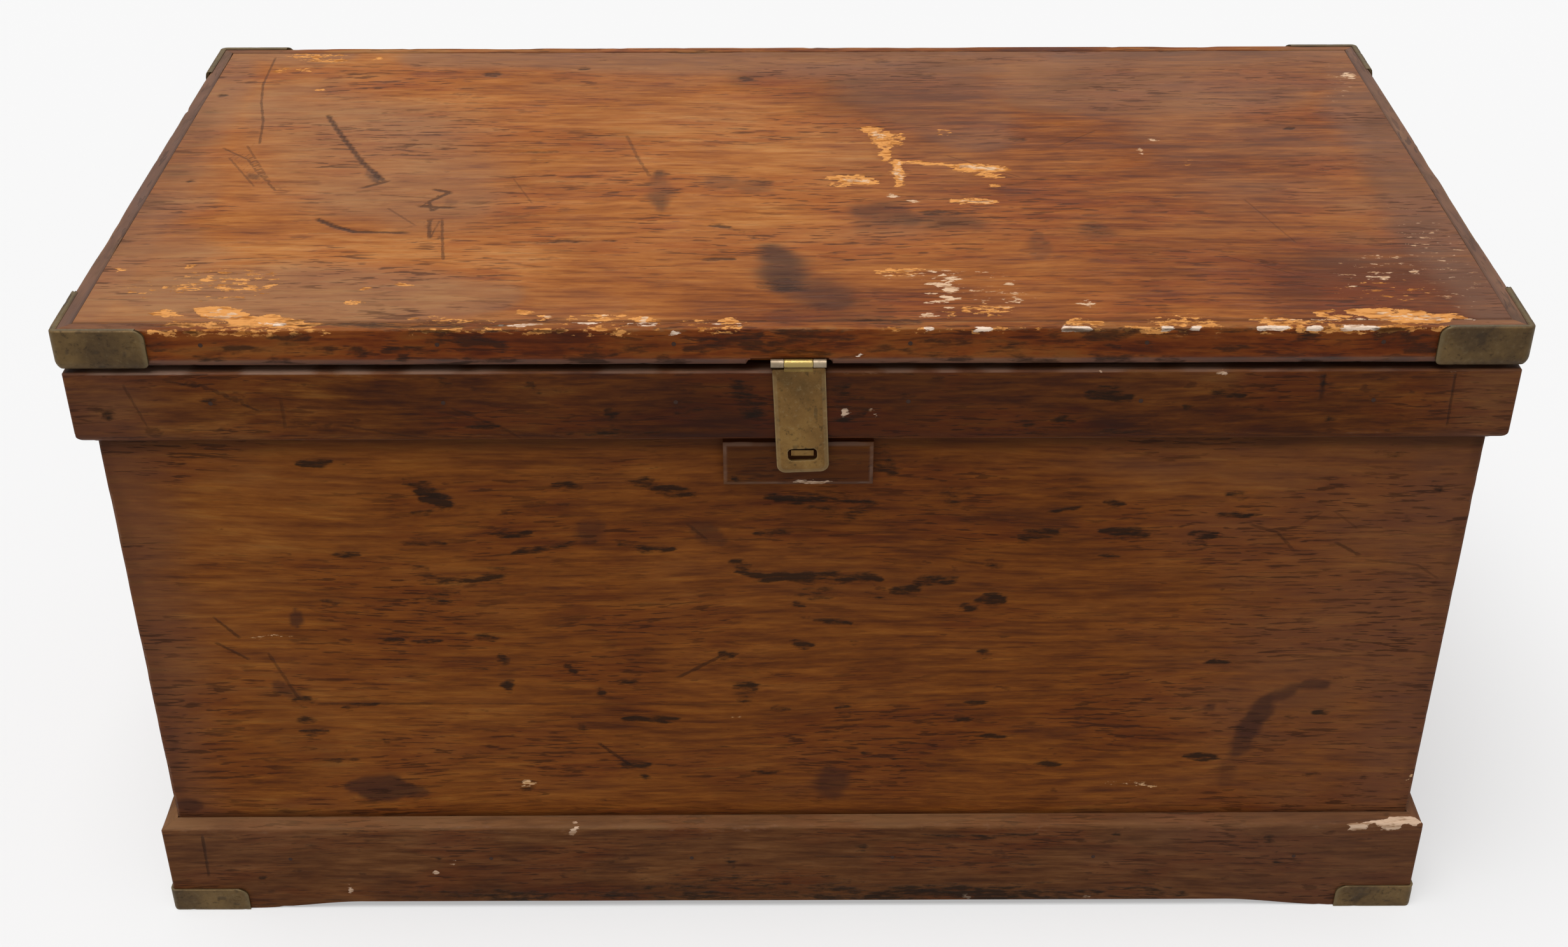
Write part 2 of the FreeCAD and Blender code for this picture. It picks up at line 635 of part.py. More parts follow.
# ---- end handles -------------------------------------------------------------------------
def make_handle(side, name):
    """Drop handle on an end board: plate with two ears, and a bail that turns in them."""
    plate = block(box_x, box_x + handle_plate_thickness, -handle_plate_length / 2, handle_plate_length / 2,
                  handle_z - handle_plate_height / 2, handle_z + handle_plate_height / 2)
    plate = plate.makeFillet(handle_plate_round, along(plate, X))
    ears, holes = [], []
    for end in (-1, 1):
        y0 = end * ear_y - ear_width / 2
        start = Vector(handle_axis_x, y0, handle_z)
        foot = block(box_x + handle_plate_thickness / 2, handle_axis_x, y0, y0 + ear_width,
                     handle_z - ear_radius, handle_z + ear_radius)
        ears += [foot, rod(start, Y, ear_radius, ear_width)]
        holes.append(rod(start - Y, Y, bail_rod + pin_clearance, ear_width + 2))
    plate = plate.fuse(ears).removeSplitter().cut(holes)

    # bail: pintle, bend, leg, bend, grip, and the same back again
    inner = ear_y - ear_width / 2 + bail_pintle_short
    outer = ear_y + ear_width / 2 + bail_end_gap
    leg = outer + bail_shoulder
    bend = math.sqrt(0.5)

    def at(y, drop):
        return Vector(handle_axis_x, y, handle_z - drop)
    grip_end = leg - bail_bend
    leg_end = bail_drop - bail_bend
    path = [Part.makeLine(at(-grip_end, bail_drop), at(grip_end, bail_drop))]
    for end in (-1, 1):
        shoulder_mid = at(end * (outer + bail_shoulder * bend), bail_shoulder * (1 - bend))
        grip_mid = at(end * (grip_end + bail_bend * bend), leg_end + bail_bend * bend)
        path += [
            Part.makeLine(at(end * inner, 0), at(end * outer, 0)),
            Part.Arc(at(end * outer, 0), shoulder_mid, at(end * leg, bail_shoulder)).toShape(),
            Part.makeLine(at(end * leg, bail_shoulder), at(end * leg, leg_end)),
            Part.Arc(at(end * leg, leg_end), grip_mid, at(end * grip_end, bail_drop)).toShape(),
        ]
    spine = Part.Wire(Part.__sortEdges__(path))
    ring = Part.Wire(Part.makeCircle(bail_rod, at(-inner, 0), Y))
    bail = spine.makePipeShell([ring], True, False)

    if side < 0:
        plate, bail = plate.mirror(O, X), bail.mirror(O, X)
    pieces[name + "_plate"] = plate
    pieces[name + "_bail"] = bail
    end_board = ("left" if side < 0 else "right") + "_end_board"
    x = side * (box_x + handle_plate_thickness)
    y = handle_plate_length / 2 - handle_plate_round
    z = handle_plate_height / 2 - handle_plate_round
    for sy in (-1, 1):
        for sz in (-1, 1):
            fastener("handle_screws", Vector(x, sy * y, handle_z + sz * z), Vector(-side, 0, 0),
                     (name + "_plate", end_board))


# ---- brads -------------------------------------------------------------------------------
def make_brads():
    """Brads through the band, plinth and lid strips, evenly spaced along each side."""
    rows = (("band", "moulding_brads", (box_top + band_bottom + band_bevel_height) / 2),
            ("plinth", "moulding_brads", plinth_height * brad_share),
            ("lid_strip", "lid_strip_brads", lid_under + lid_thickness * brad_share))
    sides = (("front", -1), ("back", 1), ("left", -1), ("right", 1))
    for prefix, node, z in rows:
        for place, sign in sides:
            lengthwise = place in ("front", "back")
            count = long_side_brads if lengthwise else short_side_brads
            run = (half_x if lengthwise else half_y) - brad_inset
            for i in range(count):
                along_side = -run + 2 * run * i / (count - 1)
                if lengthwise:
                    point, way = Vector(along_side, sign * half_y, z), Vector(0, -sign, 0)
                    behind = place + "_board"
                else:
                    point, way = Vector(sign * half_x, along_side, z), Vector(-sign, 0, 0)
                    behind = place + "_end_board"
                if prefix == "lid_strip":
                    behind = "lid_board"
                fastener(node, point, way, (prefix + "_" + place, behind), "brad", brad_length)


# ---- put together ------------------------------------------------------------------------
make_box()
make_bottom()
make_band()
make_plinth()
make_lock_block()
make_staple()
make_lid()
make_lid_corners()
make_shoes()
make_hasp()
make_hinge(-1, "hinge_left")
make_hinge(1, "hinge_right")
make_handle(-1, "handle_left")
make_handle(1, "handle_right")
make_brads()

# the hasp's barrel reaches furthest forward and the hinges' lugs furthest back
front_reach = -hasp_axis_y + hasp_barrel
lug_turn = math.radians(hinge_stop_angle)
lug_face = heel_gap + heel_thickness - hinge_barrel_gap - hinge_barrel
back_reach = hinge_axis_y + lug_reach * math.sin(lug_turn) + max(
    lug_face * math.cos(lug_turn), (lug_face + lug_thickness) * math.cos(lug_turn))
to_origin = Vector(0, (front_reach - back_reach) / 2, 0)

os.makedirs("parts", exist_ok=True)
for name, made in pieces.items():
    solids = made if isinstance(made, list) else [made]
    cutters = bores.get(name, [])
    finished = []
    for solid in solids:
        near = [c for c in cutters if c.BoundBox.intersect(solid.BoundBox)]
        body = solid.cut(near) if near else solid
        finished += body.Solids
    for solid in finished:
        solid.translate(to_origin)
    shape = finished[0] if len(finished) == 1 else Part.makeCompound(finished)
    shape.exportStep("parts/" + name + ".step")
    state = "valid" if shape.isValid() else "NOT VALID"
    print(name, len(finished), "solid(s)", round(shape.Volume), "mm3", state)
print("the pieces were moved along Y by", round(to_origin.y, 4))
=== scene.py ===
import math

import bpy
import numpy as np
from mathutils import Matrix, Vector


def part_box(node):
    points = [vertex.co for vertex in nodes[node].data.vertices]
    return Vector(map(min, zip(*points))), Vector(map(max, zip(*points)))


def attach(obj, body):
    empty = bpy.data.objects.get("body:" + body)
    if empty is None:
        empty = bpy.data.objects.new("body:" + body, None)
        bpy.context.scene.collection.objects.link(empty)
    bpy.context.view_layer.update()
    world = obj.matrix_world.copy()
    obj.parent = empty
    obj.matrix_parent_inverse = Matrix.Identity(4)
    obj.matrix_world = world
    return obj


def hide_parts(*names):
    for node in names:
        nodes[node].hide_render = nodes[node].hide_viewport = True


# Sea chest of old varnished pine with tarnished brass. Lengths are in millimetres unless a name
# says metres; a piece becomes metres when its mesh is made. +Z up, front towards -Y.

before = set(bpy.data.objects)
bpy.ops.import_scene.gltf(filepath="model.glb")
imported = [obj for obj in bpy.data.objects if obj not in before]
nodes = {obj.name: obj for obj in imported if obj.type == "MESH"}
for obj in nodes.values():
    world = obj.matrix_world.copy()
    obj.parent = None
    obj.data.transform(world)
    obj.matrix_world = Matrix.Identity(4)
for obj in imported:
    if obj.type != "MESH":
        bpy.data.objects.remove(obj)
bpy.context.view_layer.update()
scene = bpy.context.scene


# ---- places that the CAD gives -------------------------------------------------------------
def box_mm(node):
    """Lowest and highest corner of a CAD node, in millimetres."""
    low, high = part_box(node)
    return np.array(low) * 1000.0, np.array(high) * 1000.0


band_low, band_high = box_mm("band_front")
side_low, side_high = box_mm("band_left")
board_low, board_high = box_mm("lid_board")
front_low, front_high = box_mm("front_board")
block_low, block_high = box_mm("lock_block")
plate_low, plate_high = box_mm("hasp_plate")
leaf_low, leaf_high = box_mm("hasp_lid_leaf")
strap_low, strap_high = box_mm("lid_corner_front_left")

FRONT_Y = band_low[1]                          # outer face of the mouldings in front
BACK_Y = box_mm("band_back")[1][1]
MID_Y = (FRONT_Y + BACK_Y) / 2
HALF_X = side_high[0] - side_low[0] + front_high[0]
HALF_Y = (BACK_Y - FRONT_Y) / 2
BOX_X = front_high[0]
MOULD = HALF_X - BOX_X                         # thickness of band and plinth
BOX_Y = front_low[1]                           # outer face of the front board
STRIP = HALF_X - board_high[0]                 # thickness of the lid's edge strips
LID_LOW, LID_TOP = board_low[2], board_high[2]
BAND_LOW, BOX_TOP = band_low[2], band_high[2]
PLINTH_TOP = box_mm("plinth_front")[1][2]
SHOE_TOP = box_mm("shoe_front_left")[1][2]
BOX_LOW = front_low[2]
WALL = front_high[1] - front_low[1]
LAP = 6.0                                      # wood in front of the dovetails
INSIDE_X = (BOX_X - WALL + .3) / 1000          # half the room inside the box, in metres
INSIDE_Y = (HALF_Y - MOULD - WALL + .3) / 1000
CORNER_R = 2.5                                 # rounding of the mouldings' outer corners
LONG_SIDES = ("front", "back")                 # sides that run along X


# ---- repeatable noise ----------------------------------------------------------------------
def lattice(cell, seed):
    """A number from 0 to 1 for every whole-number point: its three counts and a seed are
    multiplied by large odd numbers, added, and their bits mixed twice."""
    low_bits = np.uint64(0xFFFFFFFF)
    h = (cell.astype(np.uint64) * np.array([374761393, 668265263, 2246822519], np.uint64)).sum(-1)
    h = (h + np.uint64(seed * 3266489917 % 2 ** 32)) & low_bits
    for shift, factor in ((15, 2246822519), (13, 3266489917)):
        h = ((h ^ (h >> np.uint64(shift))) * np.uint64(factor)) & low_bits
    return ((h ^ (h >> np.uint64(16))) & np.uint64(0xFFFFFF)).astype(float) / float(0xFFFFFF)


def value_noise(P, size, seed):
    """Smooth noise from 0 to 1: lattice numbers at the eight corners round a point, blended
    with 3t^2 - 2t^3 along each way. size is the lattice step in millimetres, one for each way."""
    q = np.asarray(P, float) / np.asarray(size, float) + 4096.0
    cell = np.floor(q)
    t = q - cell
    t = t * t * (3 - 2 * t)
    total = 0.0
    for corner in np.ndindex(2, 2, 2):
        share = np.where(corner, t, 1 - t)
        total = total + share[..., 0] * share[..., 1] * share[..., 2] * lattice(cell + corner, seed)
    return total


def fractal(P, size, seed, octaves=4):
    """Sum of value noises, each half as large and half as strong as the one before, over the
    sum of their strengths."""
    total, weight, strength = 0.0, 0.0, 1.0
    step = np.asarray(size, float) * np.ones(3)
    for k in range(octaves):
        total = total + strength * value_noise(P, step, seed + 17 * k)
        weight += strength
        step, strength = step / 2, strength / 2
    return total / weight


def ease(low, high, x):
    """0 below low, 1 above high, and 3t^2 - 2t^3 between."""
    t = np.clip((x - low) / (high - low), 0, 1)
    return t * t * (3 - 2 * t)


# ---- meshes ---------------------------------------------------------------------------------
def place_mesh(name, points, faces):
    """A new object at the origin, from points in millimetres and faces."""
    mesh = bpy.data.meshes.new(name)
    mesh.from_pydata((points * 0.001).tolist(), [], faces)
    made = bpy.data.objects.new(name, mesh)
    scene.collection.objects.link(made)
    return made


def sheet(name, P, close_u=False, close_v=True, caps=True, marks=None, sharp=38.0):
    """A mesh from a grid of points P[u, v]. Each cell is a four-sided face; closing a way joins
    its last row to its first, and caps close the two ends with a flat face. The faces are turned
    to point outwards by the sign of the enclosed volume. marks are numbers for every point."""
    nu, nv = P.shape[:2]
    index = np.arange(nu * nv).reshape(nu, nv)
    u = np.arange(nu if close_u else nu - 1)[:, None]
    v = np.arange(nv if close_v else nv - 1)
    next_u, next_v = (u + 1) % nu, (v + 1) % nv
    quads = np.stack([index[u, v], index[next_u, v], index[next_u, next_v], index[u, next_v]], -1)
    quads = quads.reshape(-1, 4)
    co = P.reshape(-1, 3)
    p, q, r, s = (co[quads[:, k]] - co.mean(0) for k in range(4))
    volume = (np.einsum("ij,ij->i", p, np.cross(q, r)) + np.einsum("ij,ij->i", p, np.cross(r, s))).sum()
    turn = -1 if volume < 0 else 1
    faces = quads[:, ::turn].tolist()
    if caps and not close_u:
        faces += [index[0].tolist()[::turn], index[-1].tolist()[::-turn]]
    made = place_mesh(name, co, faces)
    for key, values in (marks or {}).items():
        layer = made.data.attributes.new(key, "FLOAT", "POINT")
        layer.data.foreach_set("value", np.broadcast_to(values, (nu, nv)).astype(np.float32).ravel())
    made.data.validate()
    made.data.shade_smooth()
    made.data.set_sharp_from_angle(angle=math.radians(sharp))
    return made


def steps(*parts):
    """Stations along a line, made of (start, end, largest step) parts that meet."""
    runs = []
    for start, end, step in parts:
        count = max(1, int(math.ceil(abs(end - start) / step)))
        runs.append(np.linspace(start, end, count + 1)[:-1])
    return np.append(np.concatenate(runs), parts[-1][1])


def turn_arc(cx, cz, radius, start, end, count):
    """Points of an arc, between two angles in degrees."""
    angle = np.radians(np.linspace(start, end, count))
    return np.stack([cx + radius * np.cos(angle), cz + radius * np.sin(angle)], -1)


def line(ax, az, bx, bz, step):
    """Points from one place to another, without the last."""
    count = max(1, int(math.ceil(math.hypot(bx - ax, bz - az) / step)))
    t = np.arange(count)[:, None] / count
    return np.array([[ax, az]]) * (1 - t) + np.array([[bx, bz]]) * t


def grid(x, section):
    """A section's (across, height) points carried along X: the three numbers of each grid point."""
    X, across = np.meshgrid(x, section[:, 0], indexing="ij")
    return X, across, np.broadcast_to(section[:, 1], X.shape).copy()


# ---- listed marks ---------------------------------------------------------------------------
def spots(a, b, table, wobble=(0, 0), slim=1.0, blur=1.0):
    """How strongly each point is marked: for every row (a0, b0, a1, b1, radius, soft, strength)
    the strength inside the radius of the stroke, easing to nothing over the soft edge; the
    strongest row counts. A long stroke narrows towards its ends: its width is times the root
    of 1 - 0.7 e^2, with e from -1 to 1 along it. wobble shifts the places a little, so that no
    mark is a clean shape; slim and blur multiply every radius and every soft edge."""
    a, b = a + wobble[0], b + wobble[1]
    level = np.zeros(np.broadcast(a, b).shape)
    for a0, b0, a1, b1, radius, soft, strength in table:
        da, db = a1 - a0, b1 - b0
        length = math.hypot(da, db)
        t = np.clip(((a - a0) * da + (b - b0) * db) / max(length * length, 1e-9), 0, 1)
        away = np.hypot(a - a0 - t * da, b - b0 - t * db)
        thin = .7 * min(length / (4 * radius + 1e-9), 1.0)
        away = away / np.sqrt(1 - thin * (2 * t - 1) ** 2)
        level = np.maximum(level, strength * (1 - ease(radius * slim, radius * slim + soft * blur, away)))
    return level


def scratches(a, b, table):
    """For thin lines: the signed distance to the nearest one over its half width, and its
    strength, which fades 2 to 3.4 mm away. A signed distance passes exactly through nothing on
    the line, so it stays thin on a coarse grid. A row is (half width, strength, points)."""
    distance = np.full(np.broadcast(a, b).shape, 9.0)
    strength = np.zeros_like(distance)
    best = np.full_like(distance, 1e9)
    for half_width, power, points in table:
        for (a0, b0), (a1, b1) in zip(points[:-1], points[1:]):
            length = math.hypot(a1 - a0, b1 - b0)
            ua, ub = (a1 - a0) / length, (b1 - b0) / length
            run = (a - a0) * ua + (b - b0) * ub
            off = (a - a0) * ub - (b - b0) * ua
            beyond = np.maximum(np.maximum(-run, run - length), 0)
            true = np.hypot(off, beyond)
            near = true < best
            fade = power * ease(2.0, .5, beyond) * ease(3.4, 2.0, true)
            distance = np.where(near, off / half_width, distance)
            strength = np.where(near, fade, strength)
            best = np.where(near, true, best)
    return distance, strength


def wobble_at(P, seed, size=9.0, reach=5.0):
    """Two shifts of up to half the reach, from noise a few millimetres across."""
    return [(fractal(P, size, seed + more, 3) - 0.5) * reach for more in (0, 5)]


# bare: varnish gone, pale wood shows (x, y on the lid)
LID_BARE = [
    (-418, -227, -402, -231, 4, 4, .8), (-390, -224, -360, -233, 6, 5, 1.1),
    (-366, -238, -312, -245, 5, 4, 1), (-408, -243, -318, -248, 3.5, 3, .6),
    (-344, -233, -340, -233, 3, 3, .9), (-405, -187, -360, -187, 16, 14, .26),
    (-440, -196, -425, -198, 8, 8, .24), (-411, -191, -409, -191, 3, 3, .7),
    (-402, -195, -399, -195, 3, 3, .6), (-397, -179, -394, -179, 3, 3, .6),
    (-386, -191, -382, -191, 3, 3, .65), (-374, -184, -370, -184, 3, 3, .7),
    (-364, -192, -362, -192, 3, 3, .6), (-353, -190, -351, -190, 3, 3, .55),
    (-459, -164, -459, -164, 2.5, 3, .6), (-414, -161, -414, -161, 2.5, 3, .6),
    (-293, -213, -289, -213, 3, 3, .62), (-264, -188, -262, -188, 3, 3, .6),
    (-287, -195, -285, -195, 2.5, 3, .6), (-410, 236, -384, 226, 12, 12, .46),
    (-404, 198, -398, 198, 3, 4, .6), (-422, 197, -420, 197, 3, 4, .5), (-382, 155, -380, 155, 2, 3, .6),
    (-346, 223, -344, 223, 2.5, 3, .6), (-178, -228, -174, -228, 3, 3, .62),
    (-165, -236, -160, -236, 3, 3, .66), (-150, -240, -90, -243, 6, 6, .34),
    (-127, -236, -124, -236, 4, 3, .7), (-100, -239, -94, -239, 3, 3, .72), (-43, -240, -39, -240, 4, 3, .8),
    (-70, -243, -30, -245, 4, 5, .36), (-250, -240, -190, -244, 4, 6, .32), (62, 70, 72, 60, 7, 4, .8),
    (66, 64, 73, 34, 4, 4, .8), (84, 60, 80, 40, 5, 5, .55), (72, 32, 72, 14, 3, 3, .95),
    (81, 15, 80, -32, 3, 3, .92), (32, -18, 64, -26, 6, 4, .85), (31, -30, 44, -32, 3, 4, .55),
    (76, 9, 118, 5, 1.6, 2.5, .85), (122, 2, 160, -4, 5, 5, .85), (140, -14, 158, -16, 3, 3, .72),
    (148, -33, 152, -33, 2, 3, .7), (118, -58, 148, -61, 3.5, 4, .9), (121, 73, 121, 58, 3, 5, .36),
    (57, -171, 89, -171, 4, 4, .5), (116, -226, 143, -228, 6, 6, .48), (100, -226, 104, -234, 3, 4, .5),
    (344, -235, 366, -239, 5, 6, .6), (370, -231, 424, -242, 6.5, 5, 1.05), (424, -236, 438, -238, 3, 4, .7),
    (300, -244, 350, -246, 3, 4, .55), (236, -242, 272, -246, 6, 6, .55), (306, -245, 336, -246, 4, 4, .7),
    (268, 28, 268, 28, 2, 3, .6), (300, 7, 300, 7, 2.5, 4, .5), (180, -244, 200, -246, 4, 5, .42),
    (420, -200, 370, -205, 10, 14, .18)]
# white: chalky scuffs in the varnish
LID_WHITE = [
    (66, 66, 71, 54, 3, 3, .62), (128, 2, 158, -3, 2, 3, .66), (38, -21, 60, -25, 2, 3, .6),
    (81, 8, 80, -24, 1.2, 2, .62), (-386, -227, -364, -232, 3, 5, .5), (-346, -243, -328, -244, 2, 3, .6),
    (384, -233, 418, -239, 3, 4, .42), (310, -241.5, 448, -241.5, .4, 1.5, .52),
    (-141, -243, -125, -244, 2, 3, .54), (-107, -245, -89, -245.5, 1.6, 3, .52),
    (-98, -240, -97, -237, 1.8, 3, .54), (-124, -234, -122, -234, 1.5, 3, .56),
    (-161, -235, -157, -235, 1.5, 3, .54), (-192, -246, -165, -246.5, .7, 2, .44),
    (-51, -246, -47, -246, 1.2, 2, .54), (-38, -246, -30, -247, 1.2, 2, .52), (126, -59, 146, -61, 2, 3, .5),
    (88, -173, 97, -173, .9, 2.5, .7), (101, -177, 112, -176, .8, 2.5, .7),
    (104, -185, 113, -183, 1.6, 3, .9), (92, -190, 108, -192, 1.1, 3, .8),
    (103, -197, 111, -198, 2.4, 3, .95), (88, -204, 99, -203, .9, 2.5, .7),
    (100, -208, 109, -211, 2.2, 3, .95), (90, -217, 104, -216, 1.2, 3, .8),
    (100, -224, 106, -224, .9, 2.5, .65), (84, -234, 95, -235, 1.1, 3, .7), (147, -190, 147, -190, 2, 3, .8),
    (149, -202, 149, -218, 1.5, 3, .55), (196, -218, 196, -218, 4, 4, .5), (76, -50, 76, -50, 2.5, 3, .7),
    (89, -59, 89, -59, 2, 3, .7), (460, 183, 460, 176, 4, 4, .72), (376, -193, 376, -193, 2, 3, .6),
    (388, -183, 402, -183, 2, 3, .6), (423, -174, 423, -174, 2, 3, .6), (278, 48, 278, 48, 2, 3, .5),
    (268, 34, 268, 22, 2, 3, .6), (60, -178, 140, -176, 4, 8, .2), (448, -215, 440, -80, 12, 20, .1),
    (380, -170, 440, -150, 14, 20, .1), (120, -205, 150, -215, 12, 14, .12),
    (440, 120, 452, 200, 8, 16, .06), (300, 20, 420, 10, 20, 30, .02)]
# ash: varnish bleached to a greyer, duller brown at the ends of the lid
LID_ASH = [
    (-472, 240, -472, -240, 22, 40, .75), (-440, -120, -430, -240, 30, 50, .55),
    (-450, 240, -380, 230, 14, 30, .6), (472, 240, 472, -240, 26, 50, .8),
    (440, -160, 380, -200, 30, 60, .25), (80, 215, 140, 60, 40, 50, .6),
    (-260, -200, -120, -220, 14, 30, .4), (200, 150, 420, 190, 50, 70, .65),
    (-470, 30, -440, -60, 20, 40, .5), (-200, 160, -60, 190, 20, 40, .3), (100, 120, 60, -100, 30, 60, .3),
    (-300, 232, 450, 232, 22, 55, .95), (-430, -200, -200, -205, 24, 40, .9),
    (300, 60, 420, -40, 40, 80, .45), (-390, 120, -260, -60, 50, 90, .6)]
# dark: knots, dirt in dents
LID_DARK = [
    (-249, 187, -241, 187, 4, 4, .9), (-171, 200, -167, 200, 2.5, 3, .8), (-37, 176, -33, 176, 3.5, 4, .85),
    (-457, 143, -457, 143, 2.5, 3, .8), (-446, -18, -446, -18, 2.5, 3, .8),
    (156, 220, 170, 220, 2.5, 3, .75), (76, 214, 80, 214, 3.5, 4, .7), (313, 233, 327, 233, 3, 4, .75),
    (230, 234, 230, 234, 4, 4, .6), (386, 72, 392, 72, 2.5, 2.5, .95), (217, -109, 217, -109, 5, 9, .55),
    (284, -47, 284, -47, 4, 5, .5), (322, -207, 322, -207, 4, 5, .5), (172, 51, 180, 51, 3, 5, .5),
    (-214, 30, -175, 30, 1.2, 1.6, .6), (-304, 25, -275, 25, 1.2, 1.6, .6),
    (-245, 30, -229, 30, 1.2, 1.6, .6), (-200, 10, -180, 10, 1.2, 1.6, .6),
    (-157, -41, -118, -41, 1.2, 1.6, .6), (-185, -122, -123, -122, 1.9, 2, .75),
    (-64, -151, -41, -151, 2.4, 2.2, .85), (-58, -98, -40, -104, 2.2, 2.2, .8),
    (-40, -104, -24, -120, 2.2, 2.2, .75), (-450, -246, -330, -247, 1.5, 3, .6),
    (-320, -246, -186, -246, 2, 3, .75), (250, 150, 262, 149, 1.5, 3, .5), (330, 120, 346, 121, 1.5, 2, .5),
    (120, -78, 96, -80, 3, 6, .6), (118, -52, 152, -68, 1.6, 2, .5), (24, -150, 44, -152, 1.5, 3, .6),
    (-330, -243, -322, -240, 3, 3, .7), (-20, -190, 10, -196, 4, 7, .6), (40, -242, 84, -244, 2, 4, .6),
    (-100, 236, -40, 239, 2, 4, .5), (0, 240, 120, 242, 2, 5, .5), (250, 240, 330, 241, 3, 5, .55)]
# haze: water and ink stains, soft and blue-black
LID_HAZE = [
    (-316, -6, -303, -22, 3, 7, .8), (-400, -6, -392, -16, 3, 6, .7), (-252, -58, -248, -64, 3, 6, .6),
    (-8, -140, -2, -190, 4, 36, 1), (4, -186, 30, -216, 5, 36, .78), (52, -78, 84, -92, 6, 38, .8),
    (96, -88, 130, -98, 4, 32, .58), (-35, 176, -35, 176, 6, 24, .45), (-48, -29, -48, -29, 9, 14, .68),
    (-26, -36, -26, -36, 9, 14, .6), (-96, -14, -92, -68, 4, 13, .72), (173, -114, 173, -148, 4, 10, .55),
    (60, 110, 115, 190, 36, 60, .36), (20, 200, 20, 80, 6, 18, .25), (217, -109, 217, -109, 9, 14, .5),
    (440, -120, 470, 100, 14, 30, .4), (-470, -120, -465, 120, 8, 24, .4), (-300, 236, 300, 238, 6, 18, .3),
    (250, -140, 330, -190, 24, 60, .3), (-150, 60, -120, 90, 20, 50, .2), (200, 130, 300, 170, 30, 60, .28),
    (-10, -232, 60, -238, 8, 16, .45), (20, -196, 60, -226, 10, 24, .35),
    (330, -140, 380, -120, 20, 50, .25)]
LID_LINES = [
    (.9, .64, [(-432, 224), (-430, 165), (-423, 126), (-414, 90), (-408, 48)]),
    (2.3, .85, [(-365, 101), (-346, 59), (-322, 10), (-300, -24)]), (1.6, .72, [(-300, -24), (-315, -34)]),
    (1.4, .64, [(-300, -24), (-309, -14)]), (.9, .56, [(-433, 38), (-410, 17), (-400, -3), (-379, -37)]),
    (.81, .48, [(-425, 20), (-396, -30)]), (.81, .48, [(-416, 42), (-386, -22)]),
    (2.6, .95, [(-338, -87), (-325, -98), (-309, -107)]), (1.7, .85, [(-309, -107), (-272, -109)]),
    (1.6, .8, [(-262, -37), (-249, -42), (-263, -58), (-258, -73)]), (1.6, .8, [(-268, -66), (-244, -68)]),
    (1.5, .75, [(-258, -89), (-254, -117)]), (.99, .64, [(-249, -89), (-245, -117), (-240, -150)]),
    (1.2, .48, [(-126, 59), (-115, 17), (-105, -14)]), (.81, .4, [(-290, -70), (-268, -96)]),
    (.81, .36, [(120, 20), (170, -18)]), (.72, .32, [(330, -60), (352, -128)]),
    (.81, .4, [(-300, -46), (-262, -52)]), (.72, .32, [(208, 40), (236, 66)]),
    (.72, .36, [(-205, -20), (-188, -60)]), (.72, .32, [(300, -150), (340, -176)])]
# how light (+) or dark (-) the old varnish is, in large soft patches
LID_TONE_UP = [
    (-360, 30, -330, 60, 30, 150, .3), (-430, -200, -200, -170, 24, 90, .6),
    (-100, 40, 20, -60, 30, 170, .3), (-400, -200, -330, -200, 10, 60, .3)]
LID_TONE_DOWN = [
    (120, -220, -60, -225, 10, 60, .45), (380, -185, 450, -215, 20, 150, .9),
    (380, 60, 440, 100, 10, 130, .3), (0, 170, 140, 160, 20, 90, .4), (150, 60, 300, -60, 40, 160, .3),
    (-40, 238, 420, 240, 4, 40, .3)]

